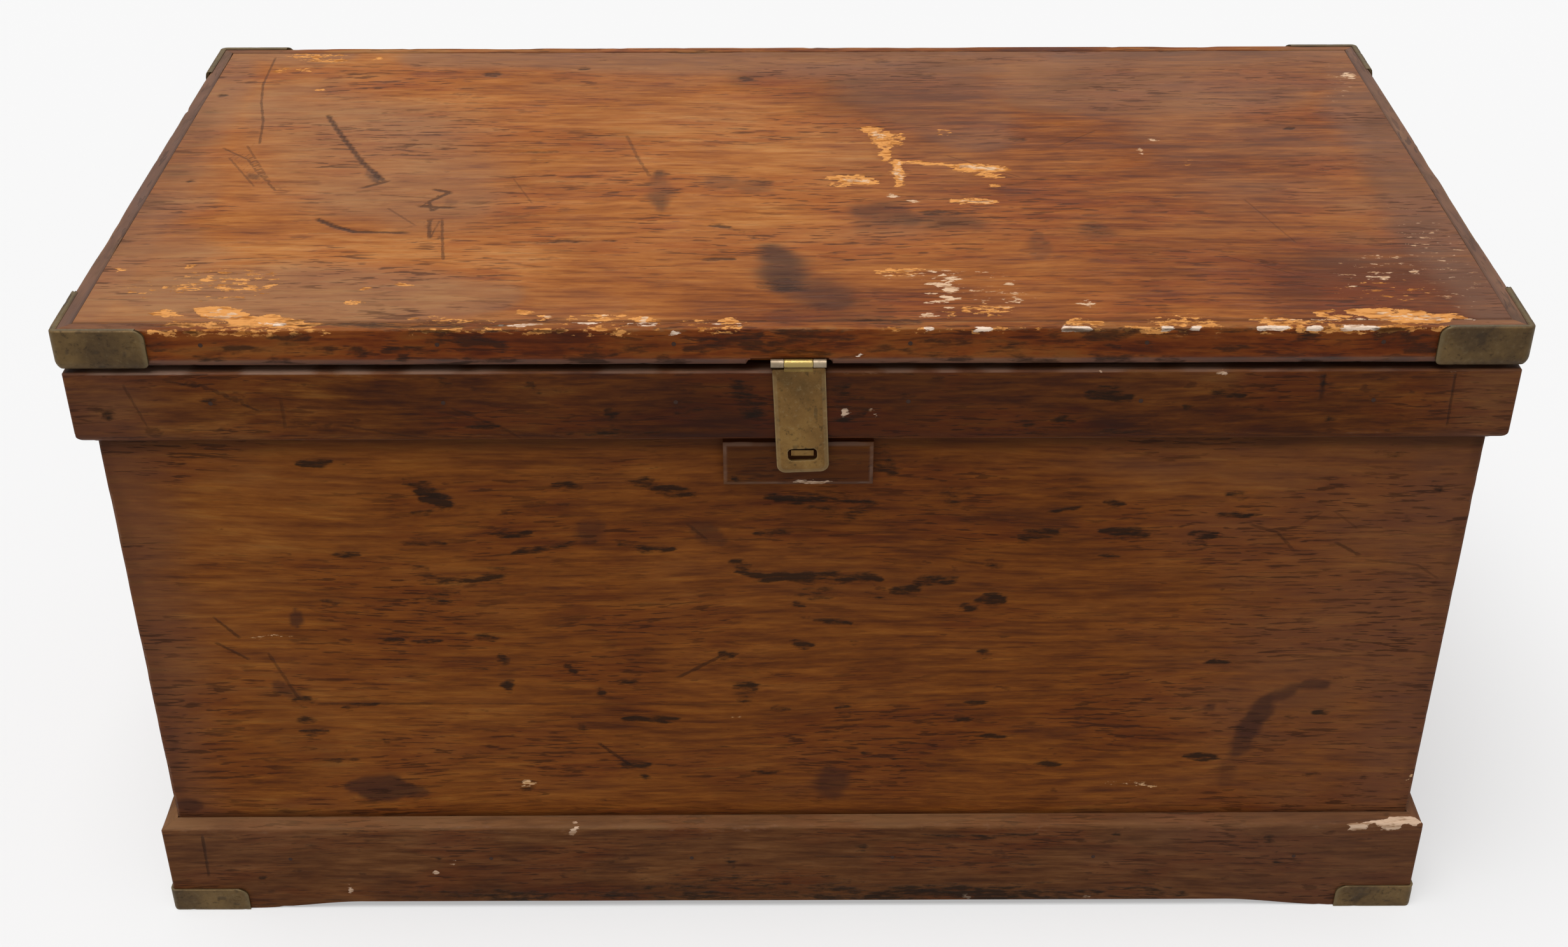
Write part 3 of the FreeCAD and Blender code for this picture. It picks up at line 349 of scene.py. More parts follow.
# the front board, (x, z)
FRONT_DARK = [
    (-337, 403, -314, 406, 2.5, 3, .9), (-265, 388, -247, 383, 2.5, 2.5, .7),
    (-256, 379, -237, 369, 5, 4, .95), (-262, 362, -240, 363, 2, 2, .6), (-270, 337, -241, 337, 2, 2, .85),
    (-210, 345, -182, 345, 2.5, 2.5, .95), (-165, 384, -143, 385, 2.2, 2, .8),
    (-185, 367, -156, 368, 3, 4, .45), (-122, 335, -82, 331, 2, 2, .9), (-195, 329, -138, 338, 1.5, 1.8, .9),
    (-112, 388, -90, 383, 2.5, 2.5, .85), (-96, 381, -68, 379, 3, 3, .95), (-321, 328, -303, 327, 2, 2, .9),
    (-270, 315, -255, 315, 1.5, 1.8, .7), (-260, 306, -222, 303, 4, 5, .5), (-258, 295, -236, 295, 2, 2, .9),
    (-262, 289, -232, 288, 3, 4, .5), (-225, 303, -200, 311, 3.5, 4, .6), (-44, 318, -30, 317, 3, 2.5, .95),
    (-38, 312, -20, 308, 2.5, 3, .85), (-28, 307, 62, 306, 3.2, 3, 1), (-26, 344, 0, 344, 2, 2, .8),
    (-17, 375, 0, 372, 3, 3, .9), (-335, 286, -322, 286, 1.5, 1.8, .7),
    (-305, 254, -278, 253, 1.4, 1.6, .85), (-272, 252, -250, 252, 1.4, 1.6, .85),
    (-229, 254, -210, 254, 1.4, 1.6, .85), (-125, 265, -115, 265, 1.5, 1.8, .7),
    (-241, 226, -222, 226, 2, 3, .5), (-210, 237, -208, 233, 3, 2.5, .9),
    (-208, 212, -206, 206, 3, 2.5, .95), (-165, 230, -158, 222, 2.5, 2, .9),
    (-125, 215, -112, 215, 2, 2, .9), (-142, 206, -140, 203, 2.5, 2, .85), (-52, 239, -40, 239, 2, 2, .85),
    (-40, 209, -28, 208, 4, 3, .8), (-36, 203, -34, 197, 4, 4, .6), (-15, 188, -3, 188, 2, 2, .8),
    (-365, 196, -350, 196, 2.5, 3, .8), (-330, 191, -304, 194, 1.8, 1.6, 1),
    (-362, 178, -355, 178, 2.5, 2.5, .7), (-365, 168, -345, 168, 2, 2, .8), (-125, 180, -84, 180, 2, 2, .9),
    (-156, 171, -154, 170, 2.5, 2, .8), (-302, 160, -301, 157, 2, 2, .7),
    (-128, 135, -106, 136, 2.5, 2.5, .85), (-112, 126, -110, 124, 2, 2, .7),
    (-357, 140, -322, 141, 1.4, 1.6, .7), (-205, 111, -186, 106, 1.6, 1.6, .8),
    (-28, 127, -13, 127, 2, 2, .8), (-62, 149, -50, 150, 4, 4, .5), (56, 414, 68, 396, 5, 6, .6),
    (8, 368, 55, 366, 6, 8, .6), (0, 371, 22, 371, 3, 3, .8), (100, 402, 110, 368, 4, 6, .45),
    (178, 362, 200, 365, 1.3, 1.5, .9), (215, 369, 230, 369, 2, 2, .8), (300, 375, 312, 374, 2, 2, .7),
    (292, 358, 318, 358, 1.5, 1.6, .8), (438, 385, 447, 378, 2, 2, .8), (425, 357, 428, 357, 2, 2, .8),
    (160, 341, 184, 344, 4, 4, .95), (215, 345, 247, 343, 3, 3, 1), (276, 342, 297, 342, 2.5, 2.5, .95),
    (273, 335, 290, 335, 2, 2, .7), (215, 326, 230, 325, 1.5, 1.6, .8), (136, 320, 146, 316, 2.5, 2.5, .8),
    (0, 294, 32, 294, 2.5, 4, .6), (70, 293, 90, 296, 3, 3, .9), (88, 303, 114, 305, 4, 3, .85),
    (50, 292, 65, 289, 2, 2, .8), (133, 286, 150, 287, 3.5, 3, .95), (120, 281, 130, 279, 2.5, 2.5, .8),
    (15, 268, 43, 266, 2, 2, .95), (0, 249, 14, 247, 3, 2.5, .95), (44, 249, 46, 248, 1.5, 1.6, .7),
    (1, 283, 7, 282, 2, 2, .8), (135, 241, 143, 237, 2.5, 2.5, .85), (147, 256, 158, 256, 1.3, 1.5, .7),
    (301, 230, 316, 230, 1.8, 1.6, 1), (125, 194, 142, 194, 1.8, 1.8, .85), (119, 180, 136, 178, 2.2, 2, .8),
    (141, 162, 158, 162, 1.6, 1.6, .9), (32, 189, 44, 182, 3, 3, .7), (360, 176, 375, 176, 1.8, 1.6, .7),
    (384, 182, 394, 182, 1.8, 1.6, .8), (403, 178, 412, 179, 1.5, 1.6, .6),
    (293, 143, 318, 140, 2.5, 2.2, .95), (182, 134, 200, 134, 2.2, 2, .85), (54, 146, 60, 143, 2, 2, .6),
    (76, 139, 83, 133, 1.8, 1.8, .6), (380, 126, 400, 124, 1.8, 1.8, .7), (428, 120, 434, 120, 2.5, 2, .6),
    (402, 412, 414, 410, 4, 5, .5)]
FRONT_HAZE = [
    (-142, 346, -138, 350, 6, 9, .6), (-68, 350, -50, 340, 6, 7, .75), (-330, 114, -292, 112, 10, 8, 1),
    (-290, 110, -276, 108, 4, 6, .8), (-376, 214, -362, 198, 4, 6, .65), (-354, 278, -354, 266, 4, 2.5, .85),
    (392, 211, 372, 208, 2.5, 7, .95), (372, 208, 350, 196, 3, 8, .8), (350, 196, 342, 178, 5, 9, .98),
    (342, 178, 337, 160, 5, 9, .95), (337, 160, 332, 146, 5, 9, .85), (332, 146, 326, 112, 4, 10, .5),
    (30, 122, 30, 112, 9, 12, .85), (-462, 96, -455, 96, 5, 8, .9), (308, 188, 310, 188, 3, 3, .7),
    # the rows from (-466, 420) and (466, 420) down to z 90 are painted shade along the board's upright
    # corners
    (228, 298, 255, 297, 5, 8, .4), (-209, 228, -209, 214, 4, 4, .4), (-466, 420, -464, 90, 3, 12, .45),
    (466, 420, 466, 90, 3, 12, .4), (-60, 120, 0, 105, 10, 20, .3), (-380, 190, -350, 150, 14, 24, .3),
    (380, 190, 340, 120, 20, 30, .25), (-20, 300, 120, 300, 10, 18, .3)]
FRONT_BARE = [
    (-203, 117, -195, 117, 1.4, 1.6, .97), (236, 117, 276, 112.5, .9, 1.6, .46),
    (-390, 256, -360, 256, .6, 1.4, .3), (-41, 182, -38, 182, 1, 1.6, .5),
    (466, 121, 468, 121, 1.6, 1.6, .8)]
FRONT_LINES = [
    (1.1, .8, [(-412, 272), (-398, 256)]), (1.1, .75, [(-414, 250), (-394, 236)]),
    (1.3, .9, [(-143, 155), (-122, 135)]), (1.2, .8, [(-82, 218), (-66, 228), (-50, 238)]),
    (.8, .7, [(-349, 194), (-265, 194)]), (.7, .45, [(-265, 194), (-40, 192)]),
    (1.1, .6, [(-378, 240), (-362, 200)]), (.8, .4, [(355, 352), (366, 360)]),
    (.8, .35, [(376, 361), (392, 348)]), (1.1, .7, [(380, 335), (397, 325)]),
    (.8, .45, [(405, 320), (440, 316), (455, 305)]), (.8, .5, [(-247, 144), (-203, 143)]),
    (1, .5, [(-72, 352), (-60, 340)]), (.9, .6, [(178, 362), (200, 366)]),
    (1, .6, [(320, 350), (338, 344), (350, 330)]), (.9, .5, [(112, 322), (134, 318)])]

# the band and the front lid strip, (x, z)
BAND_DARK = [
    (-388, 460, -382, 458, 2, 2, .8), (-215, 440, -196, 439, 2.5, 3, .8), (-232, 475, -226, 472, 3, 3, .7),
    (-172, 472, -168, 466, 2.5, 3, .7), (-122, 450, -120, 448, 3, 2.5, .85), (-80, 454, -62, 452, 4, 5, .7),
    (-455, 448, -453, 446, 2, 2, .7), (196, 463, 224, 461, 3.5, 4, .95), (276, 462, 300, 462, 1.8, 2, .9),
    (261, 453, 264, 451, 2, 2, .7), (356, 444, 359, 443, 2.5, 2, .85), (154, 442, 160, 441, 2.5, 2, .85),
    (176, 442, 188, 442, 2.5, 2, .9), (72, 463, 78, 462, 2.5, 3, .7), (46, 449, 49, 449, 2, 2, .9),
    (-36, 470, -20, 440, 5, 8, .65), (34, 470, 36, 436, 4, 8, .6), (-150, 434, -60, 434, 1.5, 3, .5),
    (120, 434, 240, 434, 1.5, 3, .5), (348, 477, 351, 462, 1.8, 1.6, .75)]
BAND_PALE = [
    (34, 448, 37, 448, 1.2, 2.4, 1.5), (53, 449, 55, 448, .8, 2.2, 1.2), (203, 479, 206, 479, .6, 1.4, .6),
    (432, 478, 436, 478, .6, 1.4, .6), (456, 478, 459, 478, .6, 1.4, .55),
    (282, 479, 285, 479, .5, 1.2, .45)]
BAND_LINES = [
    (.8, .7, [(-410, 474), (-385, 468), (-355, 452)]), (.8, .6, [(-395, 474), (-365, 460)]),
    (1.1, .5, [(-338, 458), (-338, 440)]), (1.7, .9, [(349, 477), (350, 460)]),
    (.8, .8, [(436, 477), (437, 438)]), (.8, .5, [(-440, 470), (-430, 440)]),
    (.8, .5, [(-224, 452), (-190, 436), (-178, 426)]), (.8, .5, [(-300, 440), (-240, 428)])]
STRIP_DARK = [
    (-337, 507, -312, 507, 2, 2.5, .9), (-290, 496, -278, 495, 2.5, 2.5, .9),
    (-256, 493, -252, 490, 2, 2, .8), (-192, 502, -188, 498, 2.5, 3, .8), (-70, 497, -20, 508, 2, 2.5, .95),
    (-60, 504, -36, 507, 2, 3, .8), (190, 508, 215, 497, 1.6, 2, .85), (240, 488, 256, 488, 2.5, 3, .8),
    (330, 502, 340, 502, 2, 2, .7), (400, 498, 410, 498, 1.8, 2, .8), (-420, 500, -405, 502, 2, 3, .7),
    (-90, 500, -110, 498, 2.5, 4, .6), (-10, 500, 40, 503, 6, 8, .55), (80, 498, 160, 500, 4, 7, .45),
    (-240, 503, -215, 502, 2, 3, .6), (280, 497, 300, 498, 2, 3, .5), (-390, 492, -370, 493, 2, 3, .5)]
STRIP_WHITE = [
    (118, 511.3, 127, 511.3, 1.1, 1.1, 1.3), (176, 511.5, 194, 511.5, 1.1, 1.1, 1.3),
    (240, 511.4, 248, 511.4, 1.1, 1.1, 1.3), (259, 511.4, 264, 511.4, 1.1, 1.1, 1.3),
    (-80, 509.6, -73, 509.4, 1, 1.2, .58), (302, 511.5, 320, 511.5, 1.2, 1.1, 1.3),
    (335, 511.5, 344, 511.5, 1, 1.1, 1.2), (358, 511.5, 380, 511.5, .9, 1.1, 1.2),
    (42, 491, 45, 494, .9, 1.1, .8), (88, 512, 93, 512, .8, 1.1, .7), (411, 511.5, 415, 511.5, .8, 1.1, .5)]
STRIP_BARE = [
    (-420, 512, -300, 512, 3, 3, .7), (-180, 512, -90, 512, 3, 4, .62), (-60, 512, -36, 512, 3, 3, .7),
    (60, 512, 160, 512, 2, 3, .42), (200, 512, 280, 512, 2.5, 3, .6), (300, 512, 430, 512, 3, 3, .75),
    (-250, 512, -180, 512, 2, 3, .42)]
PLINTH_DARK = [
    (-412, 31, -406, 31, 2, 2, .85), (-48, 47, -45, 45, 3, 3, .8), (245, 77, 248, 76, 2.5, 2.5, .8),
    (363, 70, 365, 68, 3, 3, .8), (50, 63, 55, 61, 3, 3, .8), (270, 36, 275, 33, 4, 4, .6),
    (372, 56, 374, 42, 2, 3, .6), (90, 72, 185, 73, 1.6, 3, .5), (-380, 68, -360, 67, 1.4, 3, .4),
    (-270, 52, -272, 49, 2, 2, .6), (100, 45, 200, 42, 2, 5, .35), (-170, 38, -160, 37, 1.4, 2, .5),
    (-90, 30, 60, 28, 3, 8, .4), (-300, 13, 300, 13, 4, 9, .62), (60, 12, 190, 12, 5, 8, .9)]
PLINTH_PALE = [
    (-276, 38, -275, 37, 1.8, 1.5, .95), (-341, 27, -341, 11, .8, 1.2, .6),
    (-168, 76, -160, 84, 1.6, 1.5, .8), (134, 10, 137, 10, 1.6, 1.5, .9), (229, 11, 231, 11, 1.5, 1.5, .8),
    (-262, 46, -261, 45, 1.2, 1.5, .4)]
PLINTH_LINES = [
    (1, .85, [(-449, 73), (-450, 34)]), (.7, .4, [(-300, 60), (-180, 58)]), (.8, .4, [(20, 52), (140, 50)])]
LEDGE_PALE = [
    (426, -251, 448, -250.2, .5, 1.2, 1.2), (442, -250.4, 464, -249.2, 1.5, 1.2, 1.4),
    (456, -248.6, 478, -248.6, 2.6, 1.4, 1.6), (-165, -247, -163, -251, .8, 1.2, .6)]


# ---- mouldings ------------------------------------------------------------------------------
def round_corner(s, n, half, thickness, radius):
    """Pulls points outside the outer corner's quarter circle onto it, towards its centre."""
    cs, cn = half - radius, thickness - radius
    ds, dn = np.abs(s) - cs, n - cn
    reach = np.hypot(ds, dn)
    out = (ds > 0) & (dn > 0) & (reach > radius)
    scale = np.where(out, radius / np.maximum(reach, 1e-9), 1.0)
    return np.where(out, np.sign(s) * (cs + ds * scale), s), np.where(out, cn + dn * scale, n)


def place_side(side, s, n, z, thickness):
    """Points of a length of moulding: s along its side from the middle, n outwards from the
    wood behind it, z up."""
    sign = -1 if side in ("front", "left") else 1
    if side in LONG_SIDES:
        return np.stack([s, MID_Y + sign * (HALF_Y - thickness + n), z + 0 * s], -1)
    return np.stack([sign * (HALF_X - thickness + n), MID_Y + s, z + 0 * s], -1)


def side_stations(half, step):
    """Stations from -1 to 1, close together at both ends where the corner is rounded."""
    inner = half - 8
    return steps((-half, -half + 3.2, .5), (-half + 3.2, -inner, 1.6), (-inner, inner, step),
                 (inner, half - 3.2, 1.6), (half - 3.2, half, .5)) / half


def moulding(name, side, outline, thickness, seed, marks_at, sunk=.25, foot=False, notch=None):
    """A length of moulding: an outline of (outward, height) points carried along one side, its ends
    mitred by shortening each line of the sweep by its distance from the outer face. Each point
    wears by its share: it moves in towards the outline's middle by up to 0.7 mm times noise, and
    0.8 mm more in short nicks. The outer face lies up to sunk mm behind its true place, in long
    soft waves. notch is a gap (start, end, height) cut up into the lower edge. A foot rises 6.5 mm
    off the floor between its corners, over 85 mm, and its ledge is 0.8 mm low at the left end and
    1.6 mm high at the right."""
    section, worn = outline
    half = HALF_X if side in LONG_SIDES else HALF_Y
    u = side_stations(half, 3.6 if side == "front" else 6.0)
    if notch:
        start, end, notch_top = notch
        cuts = np.array([start - .02, start + .02, end - .02, end + .02]) / half
        u = np.sort(np.concatenate([u[(u < cuts[0] - .002) | (u > cuts[3] + .002)], cuts,
                                    np.linspace(cuts[1], cuts[2], 16)[1:-1]]))
    n0, z0 = section.T[:, None]
    s = u[:, None] * (half - (thickness - n0))
    n, z = n0 + 0 * s, z0 + 0 * s
    if foot:
        z = np.maximum(z, 6.5 * ease(60, 145, half - np.abs(s)))
    if notch:
        z = np.where((s > start) & (s < end), np.maximum(z, notch_top), z)
    P = place_side(side, s, n, z, thickness)
    rub = ease(.42, .78, fractal(P, (34, 34, 9), seed, 4))
    nick = ease(.70, .80, fractal(P, (7, 7, 5), seed + 3, 2))
    depth = worn * (0.7 * rub + 0.8 * nick)
    away_n, away_z = n - thickness / 2, (z - section[:, 1].mean()) * .25
    length = np.maximum(np.hypot(away_n, away_z), 1e-6)
    n = n - depth * away_n / length
    z = z - depth * np.clip(away_z / length, -1, 1)
    ripple = (fractal(P, (90, 90, 30), seed + 9, 3) - .5) * sunk
    n = np.where(n0 > thickness * .6, n + ripple - sunk / 2, n)
    s, n = round_corner(s, n, half, thickness, CORNER_R)
    P = place_side(side, s, n, z, thickness)
    if foot:
        P[..., 2] += ease(PLINTH_TOP - 4, PLINTH_TOP, z) * (.4 + 1.2 * P[..., 0] / HALF_X)
    marks = marks_at(P, side)
    marks["wear"] = np.clip(worn * (.35 + .65 * rub + .6 * nick), 0, 1)
    return sheet(name, P, marks=marks)


def join(*parts):
    """One outline from (points, share of wear) parts: all the points, and a share for each."""
    return (np.concatenate([points for points, _ in parts]),
            np.concatenate([np.broadcast_to(share, len(points)) for points, share in parts]))


def band_outline():
    """Band: below, a bevel that bulges by a sine towards its outer end; then an upright face, an
    eased top edge, and back down behind."""
    t = np.linspace(0, 1, 13)[:-1, None]
    straight = np.array([[.5, BAND_LOW]]) * (1 - t) + np.array([[MOULD, BAND_LOW + 10.6]]) * t
    bevel = straight + np.sin(np.pi * t ** 1.6) * np.array([[1.1, -1.3]]) * (t > 0)
    low_share = np.where(bevel[:, 1] > BAND_LOW + 9, .4, np.where(bevel[:, 1] < BAND_LOW + 2, .55, .1))
    face = line(MOULD, BAND_LOW + 11.0, MOULD, BOX_TOP - 1.5, 3.0)
    return join((bevel, low_share), (face, np.where(face[:, 1] > BOX_TOP - 4, .2, .06)),
                (turn_arc(MOULD - 1.5, BOX_TOP - 1.5, 1.5, 0, 90, 5), .35),
                (line(MOULD - 1.5 - 2.4, BOX_TOP, 0, BOX_TOP, 3.5), 0),
                (line(0, BOX_TOP, 0, BAND_LOW, 30.0), 0), ([[0, BAND_LOW]], 0))


def plinth_outline():
    """Plinth: upright face, rounded ledge that falls slightly outwards, then back down behind."""
    face = np.concatenate([[[MOULD, 0], [MOULD, 1.2]], line(MOULD, 3.0, MOULD, PLINTH_TOP - 3, 3.0)])
    return join((face, np.where(face[:, 1] < 2, .5, np.where(face[:, 1] > PLINTH_TOP - 7, .35, .05))),
                (turn_arc(MOULD - 3, PLINTH_TOP - 3, 3, 0, 84, 7), .55),
                (line(MOULD - 3, PLINTH_TOP + .1, 0, PLINTH_TOP + 2.4, 1.6), .12),
                ([[0, PLINTH_TOP + 2.4]], 0), (line(0, PLINTH_TOP - 6, 0, 9, 34.0), 0),
                ([[0, 9.0], [0, 0], [MOULD / 2, 0]], 0))


def strip_outline():
    """Lid strip: flat below, quarter round, upright face, eased top edge, flat top with a small
    round at the joint, then back down behind."""
    return join(([[0, LID_LOW], [STRIP - 9, LID_LOW]], 0),
                (turn_arc(STRIP - 7.5, LID_LOW + 7.5, 7.5, -90, 0, 9), .28),
                (line(STRIP, LID_LOW + 9.4, STRIP, LID_TOP - 1.3, 2.2), .1),
                (turn_arc(STRIP - 1.3, LID_TOP - 1.3, 1.3, 0, 90, 5), 1.0),
                (line(STRIP - 2.6, LID_TOP, .6, LID_TOP, 1.6), .15),
                ([[.6, LID_TOP], [.18, LID_TOP - .18], [0, LID_TOP - .6]], [.5, .8, .8]),
                (line(0, LID_TOP - 6, 0, LID_LOW, 14.0), 0))


def inward(P, side):
    """How far points lie behind the outer face of the mouldings."""
    if side in LONG_SIDES:
        return HALF_Y - np.abs(P[..., 1] - MID_Y)
    return HALF_X - np.abs(P[..., 0])


def marked_x(P, side):
    """X for the tables of marks, which are for the front only: other sides are out of reach."""
    return P[..., 0] if side == "front" else np.full(P.shape[:2], 5000.0)


def band_marks(P, side):
    """Band: painted shade on the bevel below and on the top face in the lid's gap; darker round the hasp and
    in the middle; edges rubbed pale here and there, a painted highlight along the top arris, stronger at the
    left, and a pale line along the bevel's lower edge.
    """
    x, y, z = np.moveaxis(P, -1, 0)
    mark_x, wob = marked_x(P, side), wobble_at(P, 41)
    d, k = scratches(mark_x, z, BAND_LINES)
    face = y < FRONT_Y + 2
    patchy = .25 + .75 * ease(.42, .60, fractal(P, (34, 34, 20), 45, 3))
    # a painted highlight on the top arris, in patches, brighter towards the left
    lit = ease(BOX_TOP - 1.5, BOX_TOP - .9, z) * (.6 + .6 * ease(-120, -330, x)) * patchy
    return {
        "dark": spots(mark_x, z, BAND_DARK, wob, .6, 1.9) * face, "line": d, "line_power": k * face,
        "white": spots(mark_x, z, BAND_PALE, wob) * face, "ash": ease(380, 460, np.abs(x)) * .7,
        # the painted highlight on the top arris, and a pale line along the bevel's lower edge
        "round": np.maximum(lit, .4 * patchy * ease(.9, .3, np.abs(z - BAND_LOW - 1.2))),
        "tone": (.5 * ease(330, 450, x) + .2 * ease(-250, -420, x)
                 - .5 * np.exp(-((x - 20) / 210) ** 2)) * face,
        # painted shade on the bevel and on the top face behind the arris, in the lid's gap; darker round the
        # hasp and in the middle
        "grime": np.maximum.reduce([
            ease(BAND_LOW + 10, BAND_LOW, z) * .75, np.exp(-((mark_x - 5) / 42) ** 2) * .5,
            np.exp(-((mark_x - 20) / 230) ** 2) * .42,
            3 * ease(BOX_TOP - .5, BOX_TOP - .1, z) * ease(1.6, 3.0, inward(P, side))])}


def plinth_marks(P, side):
    """Plinth: darker towards the floor; painted shade on the ledge in the corner with the front board; a
    painted highlight on the top edge and ledge, strongest at the left.
    """
    x, y, z = np.moveaxis(P, -1, 0)
    mark_x, wob = marked_x(P, side), wobble_at(P, 43)
    d, k = scratches(mark_x, z, PLINTH_LINES)
    face = y < FRONT_Y + 2
    on_ledge = spots(mark_x, y, LEDGE_PALE, wob) * (z > PLINTH_TOP - 3.4)
    uneven = .6 + .6 * ease(.36, .64, fractal(P, (70, 20, 20), 61, 3))
    return {
        "dark": spots(mark_x, z, PLINTH_DARK, wob, .6, 1.9) * face, "line": d, "line_power": k * face,
        "white": np.maximum(spots(mark_x, z, PLINTH_PALE, wob) * face, on_ledge),
        "ash": ease(60, 460, x) * .6 + ease(-330, -460, x) * .3,
        # painted highlight on the top edge and ledge, strongest at the left
        "ledge": ease(PLINTH_TOP - 3.2, PLINTH_TOP - 1.2, z) * uneven * (1 - .75 * ease(-120, 420, x)),
        # darker towards the floor, and painted shade on the ledge in the corner with the front board
        "grime": np.maximum(ease(14, 2, z) * .5, ease(BOX_Y - 2.5, BOX_Y + .5, y) * (side == "front") * .8)}


def strip_marks(P, side):
    """Lid strip: on top the lid's own marks, bare and white along the rim; a mottled face, darkened below
    the top as painted shade, with a painted shade line where it meets the lower quarter round, a painted
    highlight on that round and painted shade under it; dirt in the joints; the short strips are greyer on
    top."""
    x, y, z = np.moveaxis(P, -1, 0)
    mark_x, wob = marked_x(P, side), wobble_at(P, 47, 6.0, 3.0)
    on_top, short = z > LID_TOP - .8, side not in LONG_SIDES
    rim = np.where(on_top, ease(3.2, 1.6, inward(P, side)), 1.0)
    mottle = ease(.48, .62, fractal(P, (26, 26, 7), 151, 3))
    # the face's marks and mottle, and a painted shade line where the face meets the lower quarter round
    face_dark_and_shade_line = np.maximum.reduce([spots(mark_x, z, STRIP_DARK, wob, .6, 1.9), .78 * mottle,
                                   .6 * np.exp(-((z - LID_LOW - 8.4) / .7) ** 2)])
    return {
        "dark": np.where(on_top, spots(mark_x, y, LID_DARK, wob, .7, 1.7), face_dark_and_shade_line),
        "white": np.maximum(spots(mark_x, z, STRIP_WHITE, (wob[0], 0)) * rim,
                            on_top * spots(mark_x, y, LID_WHITE, wob)),
        "bare": np.maximum(np.where(on_top, spots(mark_x, y, LID_BARE, wob), 0),
                           spots(mark_x, z, STRIP_BARE, wob) * rim * .7),
        # below the top edge the material multiplies the colour darker, as painted shade
        "face": ease(LID_TOP - .3, LID_TOP - 1.6, z), "haze": short * on_top * .5 + 0 * z,
        # a painted highlight on the lower quarter round; the short strips' tops are greyed
        "round": np.maximum(.72 * ease(LID_LOW + 7.8, LID_LOW + 6.4, z), .4 * on_top * short),
        "ash": on_top * np.maximum(.95 * short, ease(395, 445, np.abs(x))),
        # dirt on top at the joint and on the face, and painted shade on the underside over the band
        "grime": (np.where(on_top, .42 + .9 * ease(STRIP - 2.3, STRIP - .5, inward(P, side)), .3)
                  + 3 * ease(LID_LOW + 2.2, LID_LOW + .4, z))}


# ---- boards ---------------------------------------------------------------------------------
def lid_panel():
    """The lid board: its (y, z) outline carried along X. The top is a fine grid whose height is
    the flat top, less the dents under the dark marks, plus a soft unevenness."""
    (x0, y0), (x1, y1) = board_low[:2], board_high[:2]
    x = steps((x0, x0 + 3, 1.0), (x0 + 3, x1 - 3, 3.5), (x1 - 3, x1, 1.0))
    top_y = steps((y0 + .6, -190, 1.35), (-190, y1 - .6, 1.9))
    top = np.stack([top_y, np.full_like(top_y, LID_TOP)], -1)
    rest = [[y1 - .18, LID_TOP - .18], [y1, LID_TOP - .6], [y1, LID_LOW], [120, LID_LOW], [0, LID_LOW],
            [-120, LID_LOW], [y0, LID_LOW], [y0, LID_TOP - .6], [y0 + .18, LID_TOP - .18]]
    X, Y, Z = grid(x, np.concatenate([top, rest]))
    P = np.stack([X, Y, Z], -1)
    wob = wobble_at(P, 11)
    dark = spots(X, Y, LID_DARK, wob, .7, 1.7)
    bare = spots(X, Y, LID_BARE, wob)
    d, k = scratches(X, Y, LID_LINES)
    on_top = Z > LID_TOP - .5
    cut = k * (1 - ease(.6, 1.6, np.abs(d)))
    uneven = (fractal(P, (120, 60, 60), 7, 3) - .5) * .35
    seam_nick = ease(.62, .74, fractal(P, (14, 5, 5), 13, 3)) * ease(y0 + 2.2, y0 + .4, Y) * .8
    Z = Z + on_top * (uneven - .18 - .35 * dark - .25 * cut - .12 * ease(.5, .8, bare) - seam_nick)
    edge = np.minimum(x1 + STRIP - np.abs(X), np.minimum(Y - y0, y1 - Y) + STRIP)
    return sheet("lid_panel", np.stack([X, Y, Z], -1), marks={
        "dark": dark * on_top, "bare": bare * on_top, "white": spots(X, Y, LID_WHITE, wob) * on_top,
        "haze": spots(X, Y, LID_HAZE, wobble_at(P, 19, 40.0, 22.0)) * on_top,
        "line": d, "line_power": k * on_top,
        "tone": (spots(X, Y, LID_TONE_UP) - spots(X, Y, LID_TONE_DOWN)
                 + .17 * np.clip(-X / 470, -.7, 1) - .13 * ease(40, 240, X)),
        "ash": spots(X, Y, LID_ASH),
        "grime": np.maximum(ease(20, 0, edge) * .35, ease(y0 + 5, y0 + .5, Y) * .9 * on_top)})


